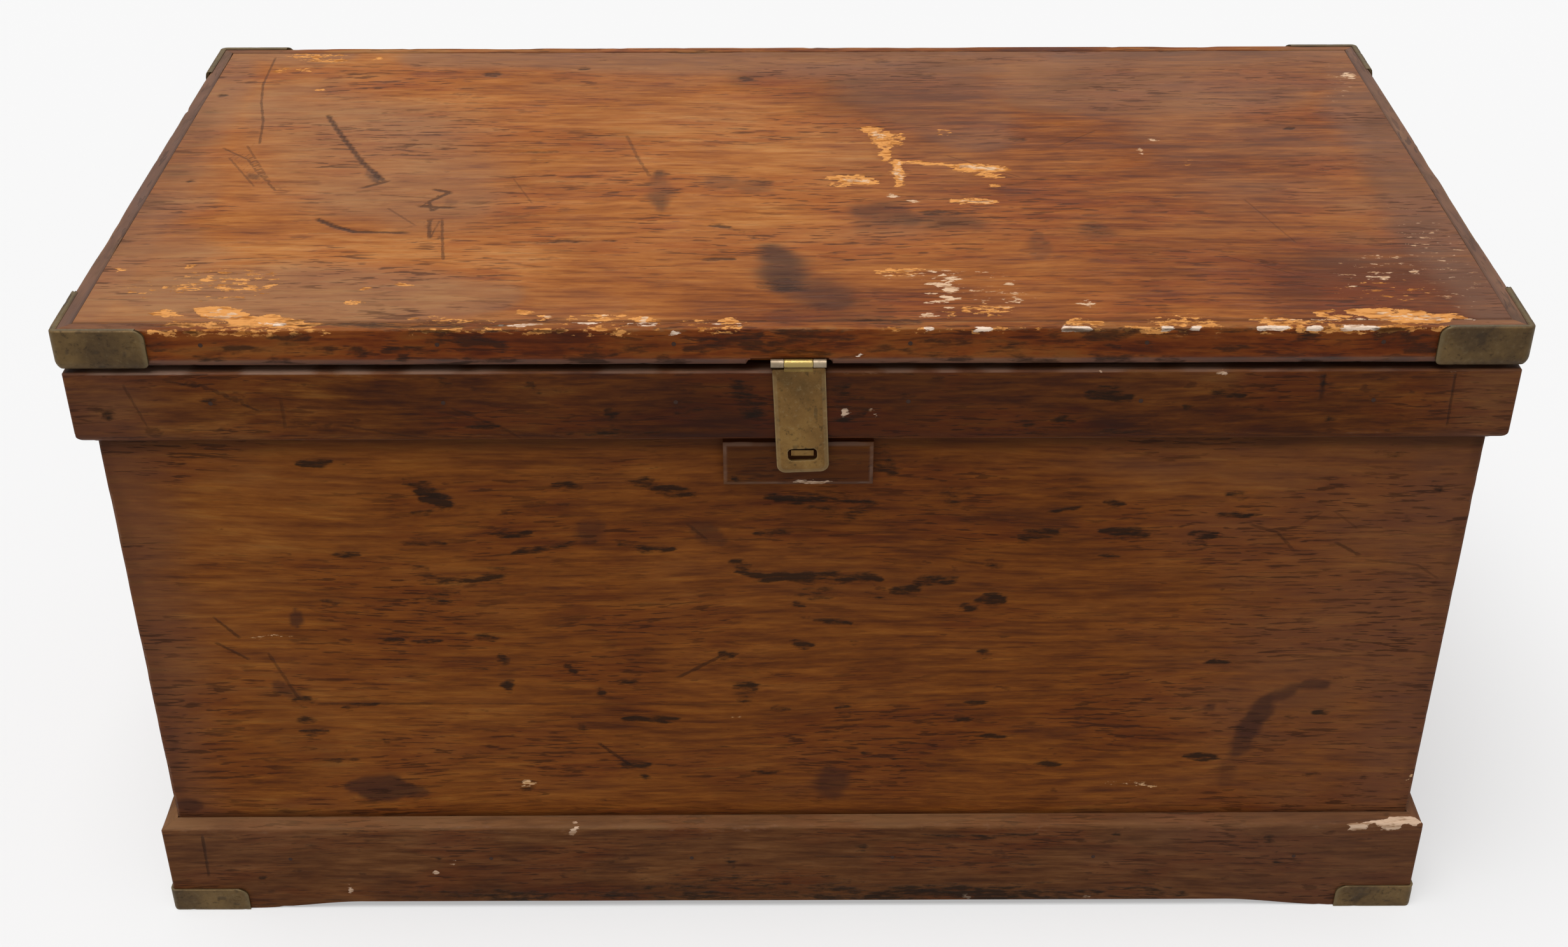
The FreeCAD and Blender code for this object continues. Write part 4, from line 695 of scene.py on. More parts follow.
def front_face():
    """The front board's outer 6 mm, which laps over the dovetails: its (y, z) outline carried
    along X, upright corners worn round, dark marks pressed in."""
    x = steps((-BOX_X, -BOX_X + 3, .6), (-BOX_X + 3, BOX_X - 3, 3.4), (BOX_X - 3, BOX_X, .6))
    face_z = np.concatenate([[BOX_LOW], steps((PLINTH_TOP - 4, BAND_LOW + 4, 1.85)), [BOX_TOP]])
    face = np.stack([np.zeros_like(face_z), face_z], -1)
    X, N, Z = grid(x, np.concatenate([face, [[LAP, BOX_TOP], [LAP, BOX_LOW]]]))
    P = np.stack([X, BOX_Y + N, Z], -1)
    wob = wobble_at(P, 23)
    dark = spots(X, Z, FRONT_DARK, wob, .5, 2.4)
    d, k = scratches(X, Z, FRONT_LINES)
    cut = k * (1 - ease(.6, 1.6, np.abs(d)))
    outer = N < 1
    worn = ease(.4, .75, fractal(P, (20, 20, 24), 29, 3))
    corner = ease(BOX_X - 1.6 - 1.2 * worn, BOX_X, np.abs(X)) * (1.0 + .8 * worn)
    N = N + outer * (.16 + (fractal(P, (140, 60, 50), 31, 3) - .5) * .3 + .4 * dark + .25 * cut + corner)
    return sheet("front_board_face", np.stack([X, BOX_Y + N, Z], -1), marks={
        "dark": dark * outer, "haze": spots(X, Z, FRONT_HAZE, wobble_at(P, 37, 12.0, 7.0)) * outer,
        "bare": spots(X, Z, FRONT_BARE, [.4 * w for w in wob]) * outer, "line": d, "line_power": k * outer,
        "wear": ease(BOX_X - 3.5, BOX_X - .5, np.abs(X)) * (.3 + .5 * worn),
        "ash": .75 * ease(405, 470, np.abs(X)) + .2 * ease(250, 420, -X) + .65 * ease(140, 420, X),
        "tone": (.22 * ease(-150, -420, X) + .16 * ease(200, 380, X)
                 - .26 * np.exp(-((X - 40) / 190) ** 2) * (.5 + .5 * ease(200, 400, Z))),
        # painted shade: darker above the plinth's ledge and under the band
        "grime": np.maximum(ease(PLINTH_TOP + 12, PLINTH_TOP + 2, Z) * .9,
                            ease(BAND_LOW - 16, BAND_LOW, Z) * .85)})


def front_core():
    """The front board behind its lap: a plain board between the end boards, and at each end
    the pins between the dovetail sockets, wider at the lap's side by one in six."""
    pins = 7
    spacing = (BOX_TOP - BOX_LOW) / (pins - 1)
    slope = (WALL - LAP) / 6
    root = spacing * .72 / 2 - slope               # half a socket's height, inside
    tip = root + slope                             # and at the lap
    inner = BOX_X - WALL
    blocks = [(-inner, inner, (BOX_LOW, BOX_LOW), (BOX_TOP, BOX_TOP))]
    for k in range(pins):
        middle = BOX_LOW + spacing * k
        low = [BOX_LOW if k == 0 else middle - spacing / 2 + half for half in (tip, root)]
        high = [BOX_TOP if k == pins - 1 else middle + spacing / 2 - half for half in (tip, root)]
        blocks += [(-BOX_X, -inner, low, high), (inner, BOX_X, low, high)]
    depth = (BOX_Y + LAP, BOX_Y + WALL)
    points, faces = [], []
    for left, right, *levels in blocks:
        base = len(points)
        points += [(x, depth[k], level[k]) for level in levels
                   for x, k in ((left, 0), (left, 1), (right, 1), (right, 0))]
        faces += [[base + corner for corner in face] for face in (
            (4, 5, 1, 0), (5, 6, 2, 1), (6, 7, 3, 2), (7, 4, 0, 3), (0, 1, 2, 3), (7, 6, 5, 4))]
    return place_mesh("front_board_core", np.array(points), faces)


def lock_block():
    """The lock block: how far it stands out is its thickness, less a bevel that falls evenly over
    the last 4 mm before the nearest edge, over a grid in x and z."""
    low, high = block_low, block_high
    bevel, wide = 1.5, 4.0
    rim = np.array([0, .5, 1.0, 2.0, 3.0, 3.7, 4.1, 4.6])
    x, z = (np.concatenate([low[k] + rim, steps((low[k] + 6, high[k] - 6, step)), high[k] - rim[::-1]])
            for k, step in ((0, 2.5), (2, 2.0)))
    X, Z = np.meshgrid(x, z, indexing="ij")
    edge = np.minimum(np.minimum(X - low[0], high[0] - X), np.minimum(Z - low[2], high[2] - Z))
    P = np.stack([X, 0 * X + high[1], Z], -1)
    worn = ease(.45, .7, fractal(P, (12, 12, 6), 53, 3))
    n = high[1] - low[1] - bevel * np.clip(1 - edge / wide, 0, 1) - .5 * worn * ease(3.5, .5, edge) - .1
    n = n - .7 * spots(X, Z, [(0, 391, 26, 391, 1.4, 2, 1)], wobble_at(P, 55, 6, 3))
    front = np.stack([X, high[1] - n, Z], -1)
    back = P[:, [-1, 0]]
    marks = {
        "round": ease(3.2, 2.2, edge) * (.32 + .34 * worn) * ease(0, .5, edge), "grime": .95 + 0 * X,
        "white": spots(X, Z, [(2, 391, 26, 390.5, 1.3, 1.6, .75)], wobble_at(P, 57, 5, 3)),
        "dark": spots(X, Z, [(-40, 395, -38, 393, 1.6, 2, .7), (44, 398, 46, 412, 1, 1.5, .4)])}
    marks = {key: np.pad(values, ((0, 0), (0, 2))) for key, values in marks.items()}
    return sheet("lock_block_worn", np.concatenate([front, back], 1), marks=marks)


# ---- brass ----------------------------------------------------------------------------------
def corner_path(reach_x, reach_y, wing, radius, t):
    """Points and outward ways along the front wing, round the corner and along the end wing, for
    t from -1 to 1. The corner's arc has its centre one radius in from both faces."""
    bend = radius * math.pi / 2
    s = t * (wing - radius + bend / 2)
    angle = np.clip((s + bend / 2) / max(radius, 1e-6), 0, math.pi / 2)
    nx, ny = np.sin(angle), -np.cos(angle)
    px = reach_x - radius + radius * nx + np.where(s < -bend / 2, s + bend / 2, 0)
    py = -(reach_y - radius) + radius * ny + np.where(s > bend / 2, s - bend / 2, 0)
    return px, py, nx, ny


def strap(name, sx, sy, section, wing, thick, low, high, radius, round_low, seed):
    """A brass corner: a (grown, height) section carried along one wing, round the corner and
    along the other; each height's run is shortened to round the wings' ends, and the inner side
    follows the outer one by the metal's thickness. The edges are eased by 0.35 mm. Old knocks
    press the face in a little."""
    eased = .35
    grow, z, count = section[:, 0], np.clip(section[:, 1], low, high), len(section)
    drop = np.maximum(z - (high - radius), 0)
    if round_low:
        drop = np.maximum(drop, np.maximum(low + radius - z, 0))
    share = (wing - radius + np.sqrt(np.maximum(radius ** 2 - drop ** 2, 0))) / wing
    tip = np.array([0, .008, .02, .04])
    t = np.concatenate([-1 + tip, np.linspace(-.93, -.08, 22), np.linspace(-.06, .06, 9),
                        np.linspace(.08, .93, 22), 1 - tip[::-1]])[:, None]
    T = t * share
    px, py, nx, ny = corner_path(HALF_X + thick, HALF_Y + thick, wing, CORNER_R + thick, T)
    row = np.arange(count)
    end_ease = eased * ease(.985, 1.0, np.abs(t))
    row_ease = eased * np.maximum(ease(1.0, 0, row), ease(count - 2, count - 1, row))
    at = np.stack([px, py, 0 * px + z], -1)
    knock = ((fractal(at, (16, 16, 12), seed, 3) - .5) * .35
             + .5 * ease(.66, .8, fractal(at, (7, 7, 6), seed + 4, 2)))
    lift = grow - thick - np.maximum(end_ease, row_ease) - np.where(np.abs(t) < .96, knock * .6, 0) - .1
    face = np.stack([px + nx * lift, py + ny * lift, 0 * px + z], -1)
    lift = grow - 2 * thick + .02
    behind = np.stack([px + nx * lift, py + ny * lift, 0 * px + np.clip(z, low + .3, high - .3)], -1)
    full = np.concatenate([face, behind[:, ::-1]], 1)
    full[..., 0] *= sx
    full[..., 1] = MID_Y + full[..., 1] * (-sy)
    rubbed = np.maximum(ease(.9, 1, np.abs(t)) * .8, row_ease / eased) + .5 * np.exp(-(T / .09) ** 2)
    marks = {"wear": np.clip(rubbed, 0, 1), "dark": ease(.1, .45, knock)}
    marks = {key: np.pad(values, ((0, 0), (0, count))) for key, values in marks.items()}
    return sheet(name, full, marks=marks, sharp=50)


def strap_section():
    """The rim's outline grown by the strap's 2.5 mm: lower round, upright face, top edge."""
    return np.concatenate([
        turn_arc(-7.5, LID_LOW + 7.5, 10.0, -48, 0, 8), line(2.5, LID_LOW + 10, 2.5, LID_TOP - .2, 2.0),
        [[2.5, LID_TOP - .2], [2.2, LID_TOP + .4], [1.7, strap_high[2]], [.2, strap_high[2]]]])


def shoe_section():
    """Upright from the floor to the shoe's top edge, which is slightly eased."""
    return np.concatenate([line(2.0, 0, 2.0, SHOE_TOP - .4, 2.0), [[2.0, SHOE_TOP - .4], [1.6, SHOE_TOP]]])


AXIS_X = (leaf_low[0] + leaf_high[0]) / 2         # the hasp's pin
BARREL = 2.9
AXIS_Y = plate_low[1] + BARREL
AXIS_Z = plate_high[2] - BARREL
PLATE_FRONT = AXIS_Y + .5
PLATE_BACK = PLATE_FRONT + 2.0
PLATE_TOP = AXIS_Z - 4.6
PLATE_LOW = AXIS_Z - 70.9 - 14.3
PLATE_HALF = 17.5
SLOT_Z = AXIS_Z - 70.9
SLOT_HALF = (9.85, 4.6)
LEAN = math.radians(2.2)
MORTISE = (AXIS_X - 31.5, AXIS_X + 20.0, LID_LOW + 7.0)    # in the lid strip, for the hasp's leaf


def rounded_outline(x1, z0, z1, top, low, count):
    """Points round an upright rectangle with rounded corners, centred in x, evenly by length,
    starting at the middle of its top and going clockwise seen from the front. top and low are
    the corners' radii."""
    start = np.array([[0.0, z1]])
    loop = np.concatenate([start] + [
        turn_arc(way * (x1 - r), z, r, angle, angle - 90, 14) for way, z, r, angle in (
            (1, z1 - top, top, 90), (1, z0 + low, low, 0), (-1, z0 + low, low, -90),
            (-1, z1 - top, top, -180))] + [start])
    run = np.concatenate([[0], np.cumsum(np.hypot(*np.diff(loop, axis=0).T))])
    at = np.linspace(0, run[-1], count + 1)[:-1]
    return np.stack([np.interp(at, run, loop[:, 0]), np.interp(at, run, loop[:, 1])], -1)


def past_edge(x, z, half_x, half_z, radius):
    """How far points are outside a rectangle with rounded corners; less than nothing inside."""
    qx, qz = np.abs(x) - half_x + radius, np.abs(z) - half_z + radius
    return np.hypot(np.maximum(qx, 0), np.maximum(qz, 0)) + np.minimum(np.maximum(qx, qz), 0) - radius


def hasp_plate():
    """The hanging plate: for every way round, a line from the slot's edge over the front to the
    plate's edge and back behind to the slot. Its bevel falls 1.1 mm over the last 3.4 mm, by the
    true distance to the rounded outline. It is drawn upright about the pin's middle, then leant."""
    top_r, low_r, slot_r = 1.0, 6.0, 3.0
    around = 192
    outline = rounded_outline(PLATE_HALF, PLATE_LOW, PLATE_TOP, top_r, low_r, around)
    half_x, half_z = SLOT_HALF
    hole = rounded_outline(half_x, SLOT_Z - half_z, SLOT_Z + half_z, slot_r, slot_r, around)
    share = np.concatenate([[0, .012, .03], np.linspace(.07, .80, 18), np.linspace(.82, .985, 12), [1.0]])
    rows = hole[None] + (outline - hole)[None] * share[:, None, None]
    x, z = np.moveaxis(np.concatenate([rows, np.stack([outline, (outline + hole) / 2, hole])]), -1, 0)
    middle = (PLATE_LOW + PLATE_TOP) / 2
    radius = np.where(z < middle, low_r, top_r)
    inside = -past_edge(x, z - middle, PLATE_HALF, (PLATE_TOP - PLATE_LOW) / 2, radius)
    from_slot = past_edge(x, z - SLOT_Z, half_x, half_z, slot_r)
    below_top = ease(PLATE_TOP - 1, PLATE_TOP - 6, z)
    y = PLATE_FRONT + 1.1 * np.clip(1 - inside / 3.4, 0, 1) * below_top + .3 * ease(.9, 0, from_slot)
    P = np.stack([x, y, z], -1)
    dents = (fractal(P, (11, 11, 11), 61, 3) - .5) * .3 + .35 * ease(.68, .8, fractal(P, (5, 5, 5), 67, 2))
    y = np.minimum(y + np.maximum(dents, 0) * .7, PLATE_BACK - .5)
    edge = np.maximum(.48 * ease(3.6, 2.6, inside) * below_top + .25 * ease(1.2, 0, inside),
                      .6 * ease(1.3, 0, from_slot))
    y[-3:] = PLATE_BACK
    edge[-3:] = 0
    dz = z - AXIS_Z
    P = np.stack([AXIS_X + x * math.cos(LEAN) - dz * math.sin(LEAN), y,
                  AXIS_Z + x * math.sin(LEAN) + dz * math.cos(LEAN)], -1)
    marks = {"wear": edge, "dark": ease(.05, .3, dents)}
    return sheet("hasp_plate_worn", P, close_u=True, caps=False, marks=marks, sharp=45)


def hasp_knuckle():
    """The plate's own knuckle: a barrel outline that runs smoothly down into the plate's face,
    carried along the pin."""
    along = steps((-9.5, -8.9, .2), (-8.9, 8.9, 1.2), (8.9, 9.5, .2))
    barrel = turn_arc(AXIS_Y, AXIS_Z, BARREL, 238, 0, 30)      # from low in front over the top to the back
    low = AXIS_Z - 6.6
    t = np.linspace(0, 1, 8)[:-1, None]
    rise = np.array([PLATE_FRONT, low]) * (1 - t) + barrel[0] * t + np.array([[.35, 0]]) * np.sin(np.pi * t)
    section = np.concatenate([rise, barrel, [[PLATE_BACK, AXIS_Z - 1.6], [PLATE_BACK, low]]])
    X, Y, Z = grid(AXIS_X + along, section)
    eased = ease(8.9, 9.5, np.abs(X - AXIS_X)) * .3
    rub = ease(AXIS_Z - 3.4, AXIS_Z - 1.0, Z)
    P = np.stack([X, Y + eased * np.sign(AXIS_Y - Y) * .7, Z + eased * np.sign(AXIS_Z - Z) * .7], -1)
    return sheet("hasp_plate_knuckle", P, marks={"wear": rub * .95}, sharp=50)


# ---- colour -----------------------------------------------------------------------------------
def colour(text):
    """Linear red, green, blue and 1 from an sRGB hex value."""
    values = [int(text[i:i + 2], 16) / 255 for i in (1, 3, 5)]
    return tuple(v / 12.92 if v <= .04045 else ((v + .055) / 1.055) ** 2.4 for v in values) + (1.0,)


def add(tree, kind, inputs=None, **settings):
    """Adds one node, gives it its settings, and fills or links its inputs. The setting "stops" is
    a smooth run of sRGB colours, evenly spaced from 0 to 1."""
    made = tree.nodes.new(kind)
    for key, value in settings.items():
        if key != "stops":
            setattr(made, key, value)
            continue
        made.color_ramp.interpolation = "B_SPLINE"
        stops = made.color_ramp.elements
        stops.remove(stops[1])
        for k, tone in enumerate(value):
            stop = stops.new(k / (len(value) - 1)) if k else stops[0]
            stop.color = colour(tone)
    for key, value in (inputs or {}).items():
        if isinstance(value, bpy.types.Node):
            value = value.outputs[0]
        if isinstance(value, bpy.types.NodeSocket):
            tree.links.new(value, made.inputs[key])
        else:
            made.inputs[key].default_value = value
    return made


def new_material(name):
    """An empty node material, its tree, its surface shader and its object coordinates."""
    material = bpy.data.materials.new(name)
    material.use_nodes = True
    tree = material.node_tree
    tree.nodes.clear()
    shader = add(tree, "ShaderNodeBsdfPrincipled")
    add(tree, "ShaderNodeOutputMaterial", {"Surface": shader})
    return material, tree, shader, add(tree, "ShaderNodeTexCoord")


def finish_surface(tree, shader, links, values):
    """Links sockets into the surface shader, and sets its constants."""
    for key, source in links.items():
        tree.links.new(source, shader.inputs[key])
    for key, value in values.items():
        shader.inputs[key].default_value = value


# length along the grain and width across it in millimetres, detail and roughness of each pattern
# in the wood; the width of the fine ones is a share of the ring spacing. The first one makes all
# others sway by up to 15 mm
GRAIN = (
    ("sway", 420, 150, 2, .5), ("cloud", 240, 105, 3, .55), ("blotch", 60, 24, 4, .6),
    ("band", 420, 10, 3, .5), ("ring", 44, 1, 4, .62), ("fibre", 15, .45, 3, .6),
    ("thread", 62, .42, 2, .5), ("check", 24, .36, 2, .6), ("where", 120, 46, 3, .6),
    ("ragged", 7, 3.4, 4, .65), ("grit", 2.4, 1.6, 3, .6), ("ding", 20, 8, 3, .6))
FINE = ("ring", "fibre", "thread", "check")
MARKS = "bare dark white haze line line_power wear grime tone ledge round face ash".split()
LIMITS = {"checks": ("where", .40, .60), "line": ("line_power", 0, 1)}


def pine(name, along, look, seed):
    """Old pine, planed and finished by hand. The grain runs along one way: growth bands 10 mm
    apart, rings that waver over half a metre, long threads, fibres, and short dirt-filled checks.
    The finest rings and fibres are drawn a little coarser than real ones, so that they show.
    Varnish has darkened unevenly, is worn thin on edges, and is gone in patches, where dry pale
    wood shows."""
    material, tree, shader, coords = new_material(name)
    axis = "XYZ".index(along)
    vector = coords.outputs["Object"]
    source = {}
    for key, lengthwise, across, detail, rough in GRAIN:
        if key in FINE:
            across = look["ring"] * across
        mapping = add(tree, "ShaderNodeMapping", {
            "Vector": vector, "Scale": [1000 / (lengthwise if k == axis else across) for k in range(3)],
            "Location": (seed * 1.7 + len(source), 7.3, seed)})
        noise = add(tree, "ShaderNodeTexNoise", {
            "Vector": mapping, "Scale": 1.0, "Detail": float(detail), "Roughness": rough})
        if key == "sway":
            vector = add(tree, "ShaderNodeVectorMath", {
                0: noise.outputs["Color"], 1: (.030, .030, .030), 2: vector}, operation="MULTIPLY_ADD")
        source[key] = noise.outputs["Fac"]
    patterns = set(source)
    for key in MARKS:
        source[key] = add(tree, "ShaderNodeAttribute", attribute_name=key).outputs["Fac"]
    source["line"] = add(tree, "ShaderNodeMath", {0: source["line"]}, operation="ABSOLUTE").outputs[0]

    # masks: shares of marks and patterns are added up, a pattern counted from its middle; the sum
    # is nothing at one value and full at the next. A mask with the name of a mark is kept to where
    # that mark is set, checks to some places, and lines to their strength
    masks = {key: source[key] for key in ("ledge", "round", "face")}
    check, ding = look["check"], look["ding"]
    for key, low, high, parts in (
            ("level", -.55, .55, {
                "tone": .5, "cloud": look["cloud"], "blotch": look["blotch"], "band": look["band"],
                "ring": look["streak"], "thread": look["thread"], "fibre": look["streak"] * .25}),
            ("rings", 0, .16, {"ring": 1}), ("fibres", 0, .16, {"fibre": 1}),
            ("threads", .02, .12, {"thread": 1}), ("checks", check - .5, check - .44, {"check": 1}),
            ("dings", ding, ding + .09, {"ding": 1, "ring": .35}), ("red", -.06, .12, {"where": 1}),
            ("ashen", -.05, .75, {"ash": .75, "cloud": 1.2, "blotch": .8}),
            ("bare", .40, .62, {"bare": 1, "ragged": 2.4, "fibre": 1.8, "ring": 1.2}),
            ("white", .42, .66, {"white": 1, "ragged": 2.4, "fibre": 1.8, "ring": .8}),
            ("dark", .32, 1.05, {"dark": 1, "ring": 2.0, "fibre": 1.8, "ragged": .8}),
            ("haze", .06, 1.15, {"haze": 1, "blotch": 1.1, "ring": .8}),
            ("wear", .35, .85, {"wear": 1, "ragged": 1.8, "ring": 1.2}),
            ("grime", .15, .95, {"grime": 1, "blotch": 1.0, "ring": 1.0}),
            ("line", 1.5, .6, {"line": 1, "ragged": 2.6})):
        total = 0.0
        for part, share in parts.items():
            total = add(tree, "ShaderNodeMath", {0: source[part], 1: share, 2: total},
                        operation="MULTIPLY_ADD")
        middle = sum(share for part, share in parts.items() if part in patterns) / 2
        masks[key] = add(tree, "ShaderNodeMapRange", {
            "Value": total, "From Min": low + middle, "From Max": high + middle},
            interpolation_type="LINEAR" if key == "level" else "SMOOTHSTEP").outputs[0]
        limit, start, full = LIMITS.get(key, (key, .01, .10))
        if limit in source:
            where = add(tree, "ShaderNodeMapRange", {
                "Value": source[limit], "From Min": start, "From Max": full})
            masks[key] = add(tree, "ShaderNodeMath", {0: masks[key], 1: where},
                             operation="MULTIPLY").outputs[0]

    # tone of the varnish, then one layer over another: how much, and a colour or a pair that the fibres mix;
    # the lid's upright faces are toned down instead of covered, as painted shade
    surface = add(tree, "ShaderNodeValToRGB", {"Fac": masks["level"]}, stops=look["tones"]).outputs["Color"]
    for key, (share, tone) in look["layers"].items():
        if isinstance(tone, tuple):
            tone = add(tree, "ShaderNodeMix", {0: masks["fibres"], 6: colour(tone[0]), 7: colour(tone[1])},
                       data_type="RGBA").outputs[2]
        else:
            tone = colour(tone)
        amount = add(tree, "ShaderNodeMath", {0: masks[key], 1: share}, operation="MULTIPLY")
        surface = add(tree, "ShaderNodeMix", {0: amount, 6: surface, 7: tone}, data_type="RGBA",
                      blend_type="MULTIPLY" if key == "face" else "MIX").outputs[2]

    # raw wood inside the box and under the lid, and end grain on the ends of the boards
    place, facing = (add(tree, "ShaderNodeSeparateXYZ", {0: coords.outputs[kind]})
                     for kind in ("Object", "Normal"))
    raw = colour("#B5885A")
    for key, tone in (("rings", "#94653A"), ("ashen", "#D9CDBE"), ("checks", "#B39A84")):
        raw = add(tree, "ShaderNodeMix", {0: masks[key], 6: raw, 7: colour(tone)}, data_type="RGBA",
                  blend_type="MIX" if key == "rings" else "MULTIPLY").outputs[2]
    bare_share = 1.0
    if look["inside"] == "under":
        bare_share = add(tree, "ShaderNodeMath", {0: facing.outputs["Z"], 1: -.97}, operation="LESS_THAN")
    if look["inside"] == "box":
        for way, middle, half in (("X", 0.0, INSIDE_X), ("Y", MID_Y / 1000, INSIDE_Y)):
            within = add(tree, "ShaderNodeMath", {0: place.outputs[way], 1: middle, 2: half},
                         operation="COMPARE")
            bare_share = add(tree, "ShaderNodeMath", {0: bare_share, 1: within}, operation="MULTIPLY")
    surface = add(tree, "ShaderNodeMix", {0: bare_share, 6: surface, 7: raw}, data_type="RGBA").outputs[2]
    end_share = facing.outputs[along]
    for operation, value in (("ABSOLUTE", 0.0), ("GREATER_THAN", .8), ("MULTIPLY", .45)):
        end_share = add(tree, "ShaderNodeMath", {0: end_share, 1: value}, operation=operation).outputs[0]
    surface = add(tree, "ShaderNodeMix", {0: end_share, 6: surface, 7: colour("#8A6F5C")}, data_type="RGBA",
                  blend_type="MULTIPLY").outputs[2]

    # height: grit in the varnish, rings and checks sunk, marks as low as the varnish is thick
    height = 0.0
    for key, share in (("grit", .14), ("rings", -.30), ("fibres", -.10), ("checks", -.55), ("bare", -.6),
                       ("dark", -.5), ("line", -1.0), ("white", .2)):
        part = masks[key] if key in masks else source[key]
        height = add(tree, "ShaderNodeMath", {0: part, 1: share, 2: height}, operation="MULTIPLY_ADD")
    bump = add(tree, "ShaderNodeBump", {"Height": height, "Strength": look["bump"], "Distance": .0006})
    gloss = add(tree, "ShaderNodeMapRange", {"Value": source["blotch"], "From Min": .3, "From Max": .7,
                                             "To Min": look["rough"][0], "To Max": look["rough"][1]})
    gloss = add(tree, "ShaderNodeMath", {0: masks["bare"], 1: .25, 2: gloss}, operation="MULTIPLY_ADD",
                use_clamp=True)
    finish_surface(tree, shader, {
        "Base Color": surface, "Roughness": gloss.outputs[0], "Normal": bump.outputs[0]}, {
        "IOR": 1.5, "Specular IOR Level": look["shine"]})
    return material


def brass(name, look, seed):
    """Sheet brass, cut and bent by hand, never polished since: a brown-green tarnish film, dirt
    in the knocks, and thinner tarnish where hands and cloths reach. The film is uneven over 10
    to 40 mm and finely spotted; the metal under it keeps a dull shine."""
    material, tree, shader, coords = new_material(name)
    source = {}
    for key, scale, detail, rough in (("cloud", 30, 4, .6), ("spot", 320, 4, .65), ("fine", 1100, 3, .6)):
        mapping = add(tree, "ShaderNodeMapping", {
            "Vector": coords.outputs["Object"], "Location": (seed, seed * 2.3, 0)})
        source[key] = add(tree, "ShaderNodeTexNoise", {
            "Vector": mapping, "Scale": float(scale), "Detail": float(detail),
            "Roughness": rough}).outputs["Fac"]
    for key in ("wear", "dark"):
        source[key] = add(tree, "ShaderNodeAttribute", attribute_name=key).outputs["Fac"]
    level = add(tree, "ShaderNodeMapRange", {"Value": source["cloud"], "From Min": .34, "From Max": .66})
    surface = add(tree, "ShaderNodeValToRGB", {"Fac": level}, stops=look["tones"]).outputs["Color"]
    # specks of dirt, rubbed specks, dirt in knocks, rubbed edges: nothing at one value and full at
    # the next
    for key, start, full, share, tone in (("spot", .56, .70, .55, "spot"), ("spot", .44, .30, .25, "worn"),
                                          ("dark", .1, 1.0, .5, "spot"), ("wear", .2, 1.0, .75, "worn")):
        mask = add(tree, "ShaderNodeMapRange", {"Value": source[key], "From Min": start, "From Max": full},
                   interpolation_type="SMOOTHSTEP")
        amount = add(tree, "ShaderNodeMath", {0: mask, 1: share}, operation="MULTIPLY")
        surface = add(tree, "ShaderNodeMix", {0: amount, 6: surface, 7: colour(look[tone])},
                      data_type="RGBA").outputs[2]
    gloss = add(tree, "ShaderNodeMapRange", {"Value": source["spot"], "From Min": .3, "From Max": .7,
                                             "To Min": look["rough"][0], "To Max": look["rough"][1]})
    height = add(tree, "ShaderNodeMath", {0: source["fine"], 1: .3, 2: source["spot"]},
                 operation="MULTIPLY_ADD")
    bump = add(tree, "ShaderNodeBump", {"Height": height, "Strength": .35, "Distance": .0005})
    finish_surface(tree, shader, {
        "Base Color": surface, "Roughness": gloss.outputs[0], "Normal": bump.outputs[0]}, {
        "Metallic": look["metal"]})
    return material


def iron(name):
    """Cut iron brads: black-brown rust, dull and pitted, 1 to 3 mm across."""
    material, tree, shader, coords = new_material(name)
    rust = add(tree, "ShaderNodeTexNoise", {
        "Vector": coords.outputs["Object"], "Scale": 900.0, "Detail": 4.0}).outputs["Fac"]
    tone = add(tree, "ShaderNodeMix", {0: rust, 6: colour("#1E1410"), 7: colour("#4A2A18")},
               data_type="RGBA")
    bump = add(tree, "ShaderNodeBump", {"Height": rust, "Strength": .4, "Distance": .0003})
    finish_surface(tree, shader, {"Base Color": tone.outputs[2], "Normal": bump.outputs[0]},
                   {"Roughness": .8, "Metallic": .3})
    return material


# tones: from the darkest varnish to the lightest; then how strong each pattern is in them, the
# spacing of the rings in millimetres, and where checks and dings begin. layers: from the lowest
LID_LOOK = {
    "tones": ("#552811", "#7F431A", "#A05D27", "#B87337", "#CB8D50"), "cloud": .8, "blotch": .5, "band": .5,
    "streak": 1.08, "thread": .85, "ring": 8.0, "check": .557, "ding": .17, "inside": "under", "bump": .8,
    "rough": (.50, .66), "shine": .13, "layers": {
        "red": (.24, "#93421A"), "threads": (.16, "#5A2A12"), "ashen": (.50, "#7C604E"),
        # The grime colour is dirt, and painted shade on the strips' undersides; the pale face colour
        # multiplies the strips' upright faces darker, as painted shade; the grey #75675F is a painted
        # highlight on their lower quarter round, and greys the short strips' tops.
        "haze": (.80, "#2E211E"), "grime": (.50, "#3A1F10"), "checks": (.70, "#3A1B09"),
        "dings": (.40, "#45220F"), "face": (1.0, "#DDC39A"), "round": (.62, "#75675F"),
        "wear": (.38, "#8E6743"), "bare": (.90, ("#F0A65C", "#B06C2E")),
        "white": (.90, ("#EFC9A4", "#B98A62")), "dark": (.78, "#211007"), "line": (.88, "#26120A")}}
STRIP_LOOK = dict(
    LID_LOOK, tones=("#4A220F", "#723A15", "#965322", "#AE6B31", "#C28549"), cloud=1.9, blotch=1.1,
    streak=1.7, ding=.13, layers=dict(
        LID_LOOK["layers"], red=(.10, "#93421A"), white=(.95, ("#FFE4CC", "#CDA88A"))))
